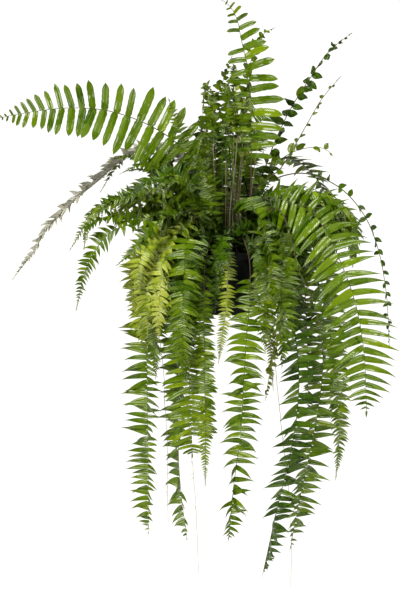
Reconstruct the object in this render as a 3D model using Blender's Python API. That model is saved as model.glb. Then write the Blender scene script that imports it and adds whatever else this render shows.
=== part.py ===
"""A sword fern in a black nursery pot that hangs by a three-armed hanger.

Metres, +Z up, with the front towards -Y. The origin is the point where the hanger's hook bears
on what holds it, and the pot stands on the Z axis below it. Every frond is one closed solid: a
thin stipe that widens into a toothed blade along a smooth curve through a few chosen points.
"""

import math
from dataclasses import dataclass

import bmesh
import bpy
from mathutils import Vector

# Driving dimensions.
RIM_Z = -0.320  # the top of the pot's rim
POT_HEIGHT = 0.150
BASE_R = 0.065
LIP_R = 0.095
LIP_HEIGHT = 0.014
WALL = 0.0019
WALL_SLOPE = 0.19  # growth of the radius with height
FLOOR = 0.0025
ROUNDING = 0.001  # of the pot's and the hub's edges
FOOT_SLANT = 0.003
FOOT_HEIGHT = 0.003
FOOT_R = 0.052
MIX_BELOW_RIM = 0.004
GAP = 0.0003  # between pieces that touch
HOLES = 6
HOLE_R = 0.005
HOLE_CIRCLE_R = 0.040
CUTTER_DEPTH = 0.03
CROWN_R = 0.062
CROWN_HEIGHT = 0.022
CROWN_STEPS = 7
CROWN_LUMP = 0.02  # how far every second ring draws in
START_GAP = 0.003  # from the crown's surface to the start of a stipe
TURN_STEPS = 40

HUB_Z = -0.058  # the plate where the hanger's arms meet
HUB_R = 0.011
HUB_THICKNESS = 0.006
ARM_R = 0.0013
ARM_AZIMUTHS = (-76, 33, 186)  # degrees from +X
HOOK_R = 0.0021
HOOK_BEND_R = 0.016
HOOK_STEPS = 14
HOOK_FROM = -45  # degrees, where the bend begins
HOOK_SWEEP = 250
SHANK_DROP = 0.026  # below the bend's centre, where the shank begins to lean
SHANK_LEAN = 0.0035
LEAN_DROP = 0.0185  # below the bend's centre, where it has leant that far
ARM_SHOULDER = ((0.003, 0.0), (0.007, -0.004))  # out from the hub's edge, and up
ARM_KNEE = ((-0.007, 0.018), (0.0008, 0.008), (0.0019, 0.003))  # from the lip's top edge
CLIP_BEND = 0.001  # where the arm turns in below the lip
CLIP_END = 0.002  # how far the arm's end reaches in below the lip

STIPE_R = 0.0017
TIP_R = 0.0007
CROZIER_PITCH = 0.02
CURL_STEPS = 14
CURL_SWEEP = 430  # degrees
CURL_CLOSE = 0.62  # how much the spiral's radius falls
CURL_TIP_R = 0.0008
RUNNER_R = 0.0006
RUNNER_STATIONS = 18
BLADE_HALF_THICKNESS = 0.0011
STATION_PITCH = 0.026  # two stations make one tooth of the blade
TOOTH_DEPTH = 0.68  # half width between two teeth, as a share of the half width at one

BASE_Z = RIM_Z - POT_HEIGHT
MIX_Z = RIM_Z - MIX_BELOW_RIM

# Directions that a blade's upper face can look in.
FRONT = (0.0, -1.0, 0.25)
FRONT_LEFT = (-0.7, -0.7, 0.2)
FRONT_RIGHT = (0.7, -0.7, 0.2)
BACK = (0.0, 1.0, 0.2)
BACK_LEFT = (-0.7, 0.7, 0.2)
BACK_RIGHT = (0.7, 0.7, 0.2)
UP = (0.0, 0.1, 1.0)
UP_FRONT = (0.0, -0.5, 1.0)


@dataclass(frozen=True)
class Frond:
    """A frond's design: its route starts on the crown, at x and y, and goes on through points
    whose heights count from the pot's rim."""

    name: str
    half_width: float
    facing: tuple
    start: tuple
    route: tuple
    bare: float = 0.18  # share of the length that has no leaflets


FRONDS = (
    Frond("frond_upper_arch_left", 0.042, FRONT, (-0.024, 0.004),
          ((-0.046, 0.004, 0.165), (-0.115, 0.0, 0.250), (-0.185, -0.008, 0.292),
           (-0.270, -0.015, 0.325), (-0.360, -0.02, 0.333), (-0.440, -0.025, 0.325),
           (-0.520, -0.03, 0.308)), 0.3),
    Frond("frond_upper_tall", 0.034, FRONT, (0.020, -0.017),
          ((0.047, -0.027, 0.085), (0.056, -0.032, 0.235), (0.054, -0.034, 0.330),
           (0.049, -0.036, 0.420), (0.036, -0.038, 0.480), (0.018, -0.040, 0.535),
           (0.002, -0.041, 0.567), (-0.012, -0.042, 0.572)), 0.3),
    Frond("frond_upper_leaning_left", 0.030, FRONT, (-0.018, 0.018),
          ((-0.048, 0.020, 0.100), (-0.064, 0.022, 0.190), (-0.050, 0.026, 0.265),
           (-0.022, 0.032, 0.335), (-0.004, 0.036, 0.385), (0.012, 0.038, 0.430))),
    Frond("frond_upper_leaning_right", 0.020, FRONT, (0.012, 0.014),
          ((0.026, 0.010, 0.150), (0.042, 0.012, 0.300), (0.055, 0.020, 0.420),
           (0.070, 0.028, 0.466), (0.088, 0.030, 0.487), (0.108, 0.032, 0.497)), 0.4),
    Frond("frond_upper_twisted_right", 0.018, FRONT_RIGHT, (0.030, 0.010),
          ((0.058, 0.022, 0.100), (0.083, 0.028, 0.160), (0.111, 0.032, 0.236),
           (0.146, 0.036, 0.310), (0.190, 0.040, 0.380), (0.235, 0.045, 0.444),
           (0.283, 0.050, 0.482)), 0.25),
    Frond("frond_upper_curled_right", 0.012, FRONT_RIGHT, (0.033, -0.004),
          ((0.044, -0.012, 0.095), (0.078, -0.020, 0.148), (0.117, -0.026, 0.178), (0.152, -0.032, 0.233),
           (0.182, -0.038, 0.288), (0.216, -0.044, 0.348), (0.256, -0.050, 0.398)), 0.3),
    Frond("frond_upper_short_right", 0.016, UP_FRONT, (0.038, 0.006),
          ((0.078, 0.012, 0.122), (0.116, 0.015, 0.190), (0.150, 0.015, 0.214),
           (0.180, 0.012, 0.224), (0.225, 0.013, 0.222), (0.243, 0.013, 0.207)), 0.35),
    Frond("frond_upper_short_left", 0.028, FRONT, (-0.014, -0.022),
          ((-0.034, -0.034, 0.110), (-0.072, -0.040, 0.200), (-0.107, -0.043, 0.280),
           (-0.130, -0.046, 0.355)), 0.25),
    Frond("frond_left_edge_on", 0.020, UP_FRONT, (-0.032, 0.014),
          ((-0.074, 0.048, 0.160), (-0.130, 0.060, 0.208), (-0.190, 0.065, 0.212),
           (-0.240, 0.072, 0.185), (-0.290, 0.080, 0.140), (-0.350, 0.086, 0.088),
           (-0.410, 0.090, 0.025), (-0.450, 0.094, -0.040), (-0.495, 0.096, -0.100)), 0.22),
    Frond("frond_left_long", 0.026, UP_FRONT, (-0.034, -0.012),
          ((-0.072, -0.022, 0.130), (-0.120, -0.030, 0.172), (-0.170, -0.036, 0.150),
           (-0.212, -0.042, 0.120), (-0.255, -0.048, 0.114), (-0.308, -0.055, 0.074),
           (-0.352, -0.060, 0.012)), 0.2),
    Frond("frond_left_low", 0.026, UP_FRONT, (-0.042, -0.022),
          ((-0.085, -0.048, 0.085), (-0.140, -0.072, 0.092), (-0.200, -0.086, 0.072),
           (-0.262, -0.098, 0.050), (-0.297, -0.104, 0.010), (-0.317, -0.108, -0.030),
           (-0.340, -0.112, -0.115)), 0.15),
    Frond("frond_left_front", 0.028, UP_FRONT, (-0.038, -0.034),
          ((-0.082, -0.080, 0.090), (-0.128, -0.118, 0.092), (-0.166, -0.138, 0.070),
           (-0.195, -0.150, 0.036), (-0.222, -0.158, 0.008), (-0.246, -0.164, -0.012)), 0.15),
    Frond("frond_left_broad", 0.032, UP_FRONT, (-0.026, -0.028),
          ((-0.052, -0.052, 0.120), (-0.092, -0.068, 0.165), (-0.150, -0.082, 0.172),
           (-0.200, -0.094, 0.152), (-0.240, -0.102, 0.118)), 0.34),
    Frond("frond_left_behind", 0.028, UP, (-0.026, 0.026),
          ((-0.062, 0.066, 0.140), (-0.118, 0.100, 0.200), (-0.190, 0.128, 0.206),
           (-0.250, 0.142, 0.160), (-0.292, 0.152, 0.095)), 0.2),
    Frond("frond_right_great_arch", 0.042, FRONT, (0.044, -0.022),
          ((0.056, -0.034, 0.100), (0.100, -0.056, 0.122), (0.148, -0.070, 0.112),
           (0.193, -0.080, 0.092), (0.233, -0.088, 0.042), (0.268, -0.092, -0.028),
           (0.302, -0.096, -0.112), (0.320, -0.098, -0.220), (0.327, -0.098, -0.360)), 0.2),
    Frond("frond_right_broad", 0.038, UP_FRONT, (0.040, -0.010),
          ((0.066, -0.014, 0.105), (0.110, -0.020, 0.142), (0.172, -0.026, 0.148),
           (0.232, -0.032, 0.130), (0.278, -0.036, 0.096), (0.305, -0.040, 0.054)), 0.25),
    Frond("frond_right_sparse_outer", 0.012, UP_FRONT, (0.042, 0.016),
          ((0.092, 0.044, 0.136), (0.170, 0.058, 0.158), (0.254, 0.062, 0.128),
           (0.318, 0.064, 0.058), (0.350, 0.062, -0.020), (0.368, 0.058, -0.110),
           (0.381, 0.054, -0.250)), 0.35),
    Frond("frond_right_bare", 0.008, FRONT_RIGHT, (0.036, -0.038),
          ((0.080, -0.062, 0.084), (0.118, -0.110, 0.106), (0.142, -0.138, 0.058),
           (0.160, -0.152, -0.020), (0.184, -0.154, -0.075), (0.206, -0.154, -0.135),
           (0.220, -0.152, -0.240)), 0.4),
    Frond("frond_skirt_left_1", 0.028, FRONT_LEFT, (-0.049, -0.010),
          ((-0.098, -0.024, 0.062), (-0.148, -0.036, 0.052), (-0.172, -0.042, 0.000),
           (-0.180, -0.044, -0.080), (-0.184, -0.044, -0.175))),
    Frond("frond_skirt_left_2", 0.028, FRONT_LEFT, (-0.042, -0.036),
          ((-0.076, -0.072, 0.062), (-0.114, -0.100, 0.048), (-0.138, -0.114, 0.000),
           (-0.150, -0.120, -0.085), (-0.154, -0.120, -0.190))),
    Frond("frond_skirt_left_3", 0.026, FRONT_LEFT, (-0.052, 0.008),
          ((-0.102, 0.016, 0.052), (-0.148, 0.022, 0.026), (-0.172, 0.024, -0.060),
           (-0.184, 0.024, -0.200), (-0.186, 0.022, -0.360), (-0.184, 0.018, -0.520),
           (-0.180, 0.012, -0.685)), 0.1),
    Frond("frond_skirt_left_4", 0.028, FRONT_LEFT, (-0.048, 0.024),
          ((-0.082, 0.042, 0.038), (-0.110, 0.056, 0.000), (-0.118, 0.060, -0.080),
           (-0.114, 0.056, -0.200), (-0.106, 0.044, -0.360), (-0.110, 0.030, -0.500),
           (-0.102, 0.020, -0.610), (-0.090, 0.014, -0.700)), 0.1),
    Frond("frond_skirt_left_5", 0.036, FRONT_LEFT, (-0.034, -0.046),
          ((-0.054, -0.076, 0.040), (-0.076, -0.098, 0.022), (-0.086, -0.108, -0.050),
           (-0.087, -0.108, -0.150), (-0.084, -0.104, -0.300), (-0.077, -0.100, -0.468)), 0.1),
    Frond("frond_skirt_front_1", 0.024, FRONT, (-0.020, -0.053),
          ((-0.032, -0.092, 0.038), (-0.046, -0.124, 0.000), (-0.051, -0.132, -0.100),
           (-0.050, -0.132, -0.220), (-0.048, -0.128, -0.380), (-0.048, -0.122, -0.525)), 0.1),
    Frond("frond_skirt_front_2", 0.016, FRONT, (-0.010, -0.054),
          ((-0.016, -0.086, 0.030), (-0.022, -0.106, -0.005), (-0.024, -0.110, -0.070),
           (-0.026, -0.108, -0.130)), 0.1),
    Frond("frond_skirt_front_3", 0.018, FRONT, (0.004, -0.056),
          ((0.006, -0.090, 0.034), (0.007, -0.114, -0.002), (0.006, -0.120, -0.060),
           (0.002, -0.120, -0.135), (-0.008, -0.116, -0.185), (-0.016, -0.112, -0.250)), 0.1),
    Frond("frond_skirt_right_1", 0.026, FRONT, (0.020, -0.053),
          ((0.034, -0.088, 0.042), (0.048, -0.112, 0.008), (0.054, -0.120, -0.080),
           (0.045, -0.122, -0.190), (0.039, -0.120, -0.300), (0.033, -0.116, -0.410),
           (0.018, -0.110, -0.530), (0.005, -0.105, -0.670)), 0.1),
    Frond("frond_skirt_right_2", 0.032, FRONT_RIGHT, (0.030, -0.030),
          ((0.044, -0.062, 0.118), (0.072, -0.088, 0.088), (0.092, -0.104, 0.036),
           (0.106, -0.112, -0.010), (0.118, -0.114, -0.060), (0.126, -0.112, -0.140),
           (0.126, -0.106, -0.260)), 0.34),
    Frond("frond_skirt_right_3", 0.038, FRONT_RIGHT, (0.046, -0.030),
          ((0.082, -0.050, 0.052), (0.118, -0.064, 0.014), (0.138, -0.068, -0.080),
           (0.158, -0.068, -0.200), (0.166, -0.066, -0.290), (0.160, -0.062, -0.400),
           (0.144, -0.060, -0.490), (0.118, -0.056, -0.605), (0.085, -0.052, -0.765)), 0.1),
    Frond("frond_skirt_right_4", 0.030, FRONT_RIGHT, (0.053, -0.002),
          ((0.108, -0.004, 0.066), (0.164, -0.006, 0.050), (0.204, -0.006, -0.050),
           (0.221, -0.006, -0.180), (0.222, -0.006, -0.290), (0.208, -0.006, -0.410),
           (0.190, -0.008, -0.505), (0.170, -0.010, -0.600), (0.150, -0.012, -0.712)), 0.12),
    Frond("frond_skirt_right_5", 0.028, FRONT_RIGHT, (0.051, 0.018),
          ((0.108, 0.038, 0.085), (0.178, 0.050, 0.072), (0.224, 0.056, -0.030),
           (0.243, 0.056, -0.220), (0.256, 0.054, -0.345), (0.264, 0.052, -0.450),
           (0.256, 0.050, -0.565)), 0.12),
    Frond("frond_skirt_right_6", 0.012, FRONT_RIGHT, (0.054, -0.014),
          ((0.088, -0.020, 0.026), (0.112, -0.024, -0.010), (0.119, -0.026, -0.100),
           (0.112, -0.024, -0.210), (0.101, -0.022, -0.285), (0.090, -0.020, -0.360)), 0.1),
    Frond("frond_back_hanging_1", 0.030, BACK_LEFT, (-0.040, 0.038),
          ((-0.080, 0.076, 0.072), (-0.122, 0.110, 0.068), (-0.148, 0.132, 0.000),
           (-0.162, 0.142, -0.130), (-0.168, 0.144, -0.320)), 0.12),
    Frond("frond_back_hanging_2", 0.030, BACK, (-0.022, 0.050),
          ((-0.042, 0.094, 0.070), (-0.060, 0.132, 0.062), (-0.074, 0.158, 0.000),
           (-0.084, 0.166, -0.150), (-0.090, 0.166, -0.330)), 0.12),
    Frond("frond_back_hanging_3", 0.030, BACK, (0.022, 0.050),
          ((0.044, 0.094, 0.066), (0.066, 0.134, 0.054), (0.084, 0.160, -0.020),
           (0.098, 0.170, -0.180), (0.112, 0.172, -0.380)), 0.12),
    Frond("frond_back_hanging_4", 0.030, BACK_RIGHT, (0.042, 0.036),
          ((0.086, 0.074, 0.078), (0.134, 0.108, 0.072), (0.168, 0.130, -0.020),
           (0.188, 0.140, -0.200), (0.194, 0.142, -0.420)), 0.12),
    Frond("frond_back_arch_1", 0.032, UP, (-0.044, 0.018),
          ((-0.108, 0.068, 0.118), (-0.168, 0.100, 0.136), (-0.225, 0.122, 0.098),
           (-0.258, 0.138, 0.020)), 0.15),
    Frond("frond_back_arch_2", 0.036, UP, (-0.018, 0.034),
          ((-0.056, 0.100, 0.150), (-0.095, 0.170, 0.200), (-0.134, 0.240, 0.182),
           (-0.165, 0.292, 0.115)), 0.15),
    Frond("frond_back_arch_3", 0.036, UP, (-0.008, 0.042),
          ((-0.026, 0.120, 0.118), (-0.045, 0.205, 0.120), (-0.056, 0.265, 0.050),
           (-0.060, 0.290, -0.050)), 0.15),
    Frond("frond_back_arch_4", 0.036, UP, (0.006, 0.036),
          ((0.016, 0.110, 0.165), (0.024, 0.200, 0.215), (0.030, 0.285, 0.180),
           (0.034, 0.345, 0.100), (0.036, 0.378, 0.010)), 0.15),
    Frond("frond_back_arch_5", 0.036, UP, (0.012, 0.046),
          ((0.036, 0.118, 0.102), (0.058, 0.190, 0.100), (0.070, 0.245, 0.030),
           (0.076, 0.270, -0.080)), 0.15),
    Frond("frond_back_arch_6", 0.032, UP, (0.028, 0.030),
          ((0.082, 0.088, 0.150), (0.142, 0.142, 0.178), (0.205, 0.195, 0.128),
           (0.245, 0.228, 0.045), (0.262, 0.245, -0.055)), 0.15),
    Frond("frond_back_upright_1", 0.030, BACK, (-0.008, 0.024),
          ((-0.018, 0.058, 0.120), (-0.026, 0.090, 0.210), (-0.032, 0.128, 0.285)), 0.25),
    Frond("frond_back_upright_2", 0.030, BACK, (0.014, 0.026),
          ((0.040, 0.078, 0.155), (0.068, 0.136, 0.240), (0.096, 0.196, 0.272),
           (0.116, 0.246, 0.250)), 0.2),
)

# A crozier's stipe rises through these points and then winds up on itself.
CROZIERS = (
    ("crozier_1", (0.004, -0.034), ((0.010, -0.040, 0.110), (0.020, -0.044, 0.200),
                                    (0.024, -0.046, 0.255)), 0.0090),
    ("crozier_2", (-0.032, 0.002), ((-0.040, 0.004, 0.060), (-0.046, 0.008, 0.105)), 0.0075),
    ("crozier_3", (0.022, -0.030), ((0.026, -0.048, 0.050), (0.028, -0.058, 0.082)), 0.0070),
)

# Runners: wiry threads that trail from the crown over the rim and hang below the fronds.
STOLONS = (
    ("stolon_1", (-0.056, -0.010), ((-0.092, -0.016, 0.018), (-0.108, -0.016, -0.020),
     (-0.102, -0.014, -0.250), (-0.078, -0.020, -0.500), (-0.062, -0.024, -0.780))),
    ("stolon_2", (0.040, 0.042), ((0.074, 0.076, 0.020), (0.090, 0.088, -0.040),
     (0.120, 0.060, -0.350), (0.148, 0.030, -0.650), (0.152, 0.026, -0.815))),
    ("stolon_3", (-0.050, 0.034), ((-0.086, 0.056, 0.022), (-0.130, 0.068, -0.040),
     (-0.142, 0.052, -0.350), (-0.134, 0.040, -0.560), (-0.134, 0.036, -0.665))),
)


def clear_scene() -> None:
    """Removes every object that the scene starts with."""
    for found in list(bpy.data.objects):
        bpy.data.objects.remove(found, do_unlink=True)


def finish(name: str, colour: tuple, roughness: float, metallic: float = 0.0):
    """A Principled BSDF material of one colour."""
    made = bpy.data.materials.new(name)
    made.use_nodes = True
    shader = made.node_tree.nodes["Principled BSDF"]
    shader.inputs["Base Color"].default_value = (*colour, 1.0)
    shader.inputs["Roughness"].default_value = roughness
    shader.inputs["Metallic"].default_value = metallic
    return made


def add_object(name: str, shape: bmesh.types.BMesh, material):
    """Turns a closed bmesh into a smooth-shaded object with its faces outwards."""
    bmesh.ops.remove_doubles(shape, verts=shape.verts, dist=1e-6)
    bmesh.ops.recalc_face_normals(shape, faces=shape.faces)
    mesh = bpy.data.meshes.new(name)
    shape.to_mesh(mesh)
    shape.free()
    mesh.shade_smooth()
    mesh.set_sharp_from_angle(angle=math.radians(35))
    made = bpy.data.objects.new(name, mesh)
    made.data.materials.append(material)
    bpy.context.scene.collection.objects.link(made)
    return made


def turned(name: str, profile: list, material):
    """Spins a profile of (radius, height) points, both ends on the axis, about the Z axis."""
    shape = bmesh.new()
    corners = [shape.verts.new((radius, 0.0, height)) for radius, height in profile]
    edges = [shape.edges.new(pair) for pair in zip(corners, corners[1:])]
    bmesh.ops.spin(shape, geom=corners + edges, cent=(0, 0, 0), axis=(0, 0, 1),
                   angle=2 * math.pi, steps=TURN_STEPS, use_merge=True)
    return add_object(name, shape, material)


def smooth_path(points: list, count: int) -> list:
    """Equally spaced (position, direction) pairs on a cubic curve through the points."""
    knots = [Vector(point) for point in points]
    lengths = [(b - a).length for a, b in zip(knots, knots[1:])]
    slopes = [(b - a) / size for a, b, size in zip(knots, knots[1:], lengths)]
    tangents = [slopes[0]]
    for before, after, first, second in zip(slopes, slopes[1:], lengths, lengths[1:]):
        tangents.append((before * second + after * first) / (first + second))
    tangents.append(slopes[-1])
    fine = []
    for index, size in enumerate(lengths):
        for step in range(24):
            t = step / 24
            fine.append(knots[index] * (2 * t**3 - 3 * t**2 + 1)
                        + tangents[index] * (size * (t**3 - 2 * t**2 + t))
                        + knots[index + 1] * (3 * t**2 - 2 * t**3)
                        + tangents[index + 1] * (size * (t**3 - t**2)))
    fine.append(knots[-1])
    reached = [0.0]
    for a, b in zip(fine, fine[1:]):
        reached.append(reached[-1] + (b - a).length)
    path = []
    at = 0
    for number in range(count):
        wanted = reached[-1] * number / (count - 1)
        while at < len(fine) - 2 and reached[at + 1] < wanted:
            at += 1
        share = (wanted - reached[at]) / (reached[at + 1] - reached[at])
        step = fine[at + 1] - fine[at]
        path.append((fine[at] + step * share, step.normalized()))
    return path


def path_length(points: list) -> float:
    """The length of the straight runs between the points."""
    return sum((Vector(b) - Vector(a)).length for a, b in zip(points, points[1:]))


def lofted(name: str, rings: list, material):
    """Bridges rings of the same number of points and caps both ends."""
    shape = bmesh.new()
    loops = [[shape.verts.new(point) for point in ring] for ring in rings]
    for lower, upper in zip(loops, loops[1:]):
        for side in range(len(lower)):
            after = (side + 1) % len(lower)
            shape.faces.new((lower[side], lower[after], upper[after], upper[side]))
    shape.faces.new(loops[0])
    shape.faces.new(loops[-1])
    return add_object(name, shape, material)


def tube(name: str, centres: list, radii: list, sides: int, material):
    """A round tube along centres, with its own radius at each one."""
    curve = bpy.data.curves.new(name, "CURVE")
    curve.dimensions = "3D"
    curve.bevel_depth = 1.0
    curve.bevel_resolution = sides // 2 - 2
    curve.use_fill_caps = True
    spline = curve.splines.new("POLY")
    spline.points.add(len(centres) - 1)
    for point, centre, radius in zip(spline.points, centres, radii):
        point.co = (*centre, 1.0)
        point.radius = radius
    made = bpy.data.objects.new(name, curve)
    made.data.materials.append(material)
    bpy.context.scene.collection.objects.link(made)
    return made


def crown_start(place: tuple) -> tuple:
    """The point just above the crown's dome over a place, with its height in the world."""
    share = 1 - (place[0] ** 2 + place[1] ** 2) / CROWN_R**2
    return (*place, MIX_Z + GAP + CROWN_HEIGHT * math.sqrt(max(share, 0.0)) + START_GAP)


def world_route(start: tuple, route: tuple) -> list:
    """A route's points in the world, from its start on the crown."""
    return [crown_start(start)] + [(x, y, z + RIM_Z) for x, y, z in route]


def build_pot(material):
    """The moulded pot: foot ring, tapered wall, rolled lip and drainage holes."""
    outer_top = BASE_R + WALL_SLOPE * (POT_HEIGHT - LIP_HEIGHT)
    inner_top = BASE_R + WALL_SLOPE * POT_HEIGHT - WALL
    inner_low = FLOOR + FOOT_HEIGHT
    profile = [
        (0.0, FOOT_HEIGHT), (FOOT_R - FOOT_SLANT, FOOT_HEIGHT), (FOOT_R, 0.0),
        (BASE_R - ROUNDING, 0.0), (BASE_R, ROUNDING), (outer_top, POT_HEIGHT - LIP_HEIGHT),
        (LIP_R - ROUNDING, POT_HEIGHT - LIP_HEIGHT),
        (LIP_R, POT_HEIGHT - LIP_HEIGHT + ROUNDING), (LIP_R, POT_HEIGHT - ROUNDING),
        (LIP_R - ROUNDING, POT_HEIGHT), (inner_top + ROUNDING, POT_HEIGHT),
        (inner_top, POT_HEIGHT - ROUNDING),
        (BASE_R + WALL_SLOPE * inner_low - WALL, inner_low), (0.0, inner_low),
    ]
    pot = turned("nursery_pot", [(r, BASE_Z + z) for r, z in profile], material)
    cutters = bmesh.new()
    for number in range(HOLES):
        turn = 2 * math.pi * (number + 0.5) / HOLES
        made = bmesh.ops.create_cone(cutters, cap_ends=True, segments=16, radius1=HOLE_R,
                                     radius2=HOLE_R, depth=CUTTER_DEPTH)
        bmesh.ops.translate(cutters, verts=made["verts"],
                            vec=(HOLE_CIRCLE_R * math.cos(turn),
                                 HOLE_CIRCLE_R * math.sin(turn), BASE_Z))
    cutter = add_object("drain_hole_cutter", cutters, material)
    cutter.hide_render = True
    cutter.display_type = "WIRE"
    cut = pot.modifiers.new("drain holes", "BOOLEAN")
    cut.operation = "DIFFERENCE"
    cut.object = cutter
    return pot


def build_mix(material):
    """The potting mix, which fills the pot nearly to its rim."""
    low = BASE_Z + FOOT_HEIGHT + FLOOR + GAP
    inset = WALL + 2 * GAP
    low_r = BASE_R + WALL_SLOPE * (low - BASE_Z) - inset
    top_r = BASE_R + WALL_SLOPE * (MIX_Z - BASE_Z) - inset
    return turned("potting_mix", [(0.0, low), (low_r, low), (top_r, MIX_Z), (0.0, MIX_Z)],
                  material)


def build_crown(material):
    """The woody crown: a low lumpy dome on the mix."""
    low = MIX_Z + GAP
    profile = [(0.0, low)]
    for step in range(CROWN_STEPS + 1):
        turn = math.radians(90) * step / CROWN_STEPS
        lump = 1 - CROWN_LUMP * (step % 2)
        profile.append((CROWN_R * math.cos(turn) * lump if step < CROWN_STEPS else 0.0,
                        low + CROWN_HEIGHT * math.sin(turn) * lump))
    return turned("rhizome_crown", profile, material)


def build_hanger(material) -> None:
    """The hanger: a hook that stands on a hub, and three thin arms that clip under the lip."""
    half = HUB_THICKNESS / 2
    turned("hanger_hub", [(0.0, HUB_Z - half), (HUB_R - ROUNDING, HUB_Z - half),
                          (HUB_R, HUB_Z - half + ROUNDING), (HUB_R, HUB_Z + half - ROUNDING),
                          (HUB_R - ROUNDING, HUB_Z + half), (0.0, HUB_Z + half)], material)
    bend_z = HOOK_R - HOOK_BEND_R
    route = [Vector((0.0, 0.0, HUB_Z + half + GAP)), Vector((0.0, 0.0, bend_z - SHANK_DROP)),
             Vector((SHANK_LEAN, 0.0, bend_z - LEAN_DROP))]
    for step in range(HOOK_STEPS + 1):
        turn = math.radians(HOOK_FROM + HOOK_SWEEP * step / HOOK_STEPS)
        route.append(Vector((HOOK_BEND_R * math.cos(turn), 0.0,
                             bend_z + HOOK_BEND_R * math.sin(turn))))
    tube("hanger_hook", route, [HOOK_R] * len(route), 10, material)
    clip_r = LIP_R + ARM_R + 2 * GAP
    under_lip = RIM_Z - LIP_HEIGHT - ARM_R - 2 * GAP
    run = [(HUB_R + GAP, HUB_Z)]
    run += [(HUB_R + out, HUB_Z + up) for out, up in ARM_SHOULDER]
    run += [(LIP_R + out, RIM_Z + up) for out, up in ARM_KNEE]
    run += [(clip_r, under_lip + CLIP_BEND), (clip_r - CLIP_BEND, under_lip),
            (LIP_R - CLIP_END, under_lip)]
    for number, azimuth in enumerate(ARM_AZIMUTHS, 1):
        turn = math.radians(azimuth)
        centres = [(r * math.cos(turn), r * math.sin(turn), z) for r, z in run]
        tube(f"hanger_arm_{number}", centres, [ARM_R] * len(centres), 8, material)


def frond_rings(frond: Frond) -> list:
    """Diamond sections along a frond: square on the stipe, wide and toothed on the blade."""
    points = world_route(frond.start, frond.route)
    stations = max(9, round(path_length(points) / STATION_PITCH))
    facing = Vector(frond.facing).normalized()
    rings = []
    for number, (centre, along) in enumerate(smooth_path(points, stations)):
        share = number / (stations - 1)
        stem = STIPE_R + (TIP_R - STIPE_R) * share
        blade = max(0.0, (share - frond.bare) / (1 - frond.bare))
        outline = min(1.0, 6 * blade) * (1 - blade) ** 0.55
        tooth = TOOTH_DEPTH if number % 2 else 1.0
        half = stem + frond.half_width * outline * tooth
        thick = stem + (min(stem, BLADE_HALF_THICKNESS) - stem) * min(1.0, 4 * blade)
        side = along.cross(facing).normalized()
        up = side.cross(along)
        rings.append([centre + side * half, centre + up * thick,
                      centre - side * half, centre - up * thick])
    return rings


def build_crozier(name: str, start: tuple, route: tuple, curl_r: float, material):
    """A young frond: a tapering stipe whose tip winds inwards in one flat spiral."""
    points = world_route(start, route)
    path = smooth_path(points, max(5, round(path_length(points) / CROZIER_PITCH)))
    centres = [centre for centre, _ in path]
    rise = path[-1][1]
    outward = Vector((points[-1][0], points[-1][1], 0.0)).normalized()
    outward = (outward - rise * outward.dot(rise)).normalized()
    middle = centres[-1] + outward * curl_r
    for step in range(1, CURL_STEPS + 1):
        turn = math.radians(CURL_SWEEP) * step / CURL_STEPS
        radius = curl_r * (1 - CURL_CLOSE * step / CURL_STEPS)
        centres.append(middle - outward * (radius * math.cos(turn))
                       + rise * (radius * math.sin(turn)))
    last = len(centres) - 1
    radii = [STIPE_R + (CURL_TIP_R - STIPE_R) * number / last for number in range(last + 1)]
    return tube(name, centres, radii, 8, material)


def build_stolon(name: str, start: tuple, route: tuple, material):
    """A runner: a thin round thread."""
    points = world_route(start, route)
    centres = [centre for centre, _ in smooth_path(points, RUNNER_STATIONS)]
    return tube(name, centres, [RUNNER_R] * len(centres), 6, material)


def main() -> None:
    """Builds every piece."""
    clear_scene()
    plastic = finish("black plastic", (0.010, 0.012, 0.010), 0.42)
    soil = finish("potting mix", (0.045, 0.028, 0.018), 0.95)
    scales = finish("crown scales", (0.110, 0.060, 0.030), 0.85)
    leaf = finish("fern leaf", (0.130, 0.230, 0.035), 0.45)
    thread = finish("runner", (0.280, 0.190, 0.100), 0.70)
    build_pot(plastic)
    build_mix(soil)
    build_crown(scales)
    build_hanger(plastic)
    for frond in FRONDS:
        lofted(frond.name, frond_rings(frond), leaf)
    for name, start, route, curl_r in CROZIERS:
        build_crozier(name, start, route, curl_r, leaf)
    for name, start, route in STOLONS:
        build_stolon(name, start, route, thread)


main()
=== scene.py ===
"""The looks of a hanging sword fern: its leaves, pot, mix, crown and hanger, in soft studio light.

Metres, +Z up, with the front towards -Y. The origin is where the hanger's hook bears, and the
routes below count their heights from the pot's rim.
"""

from __future__ import annotations

import logging
import math
from dataclasses import dataclass, field
from enum import Enum

import bpy
import numpy as np
from mathutils import Matrix, Vector, noise


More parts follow.
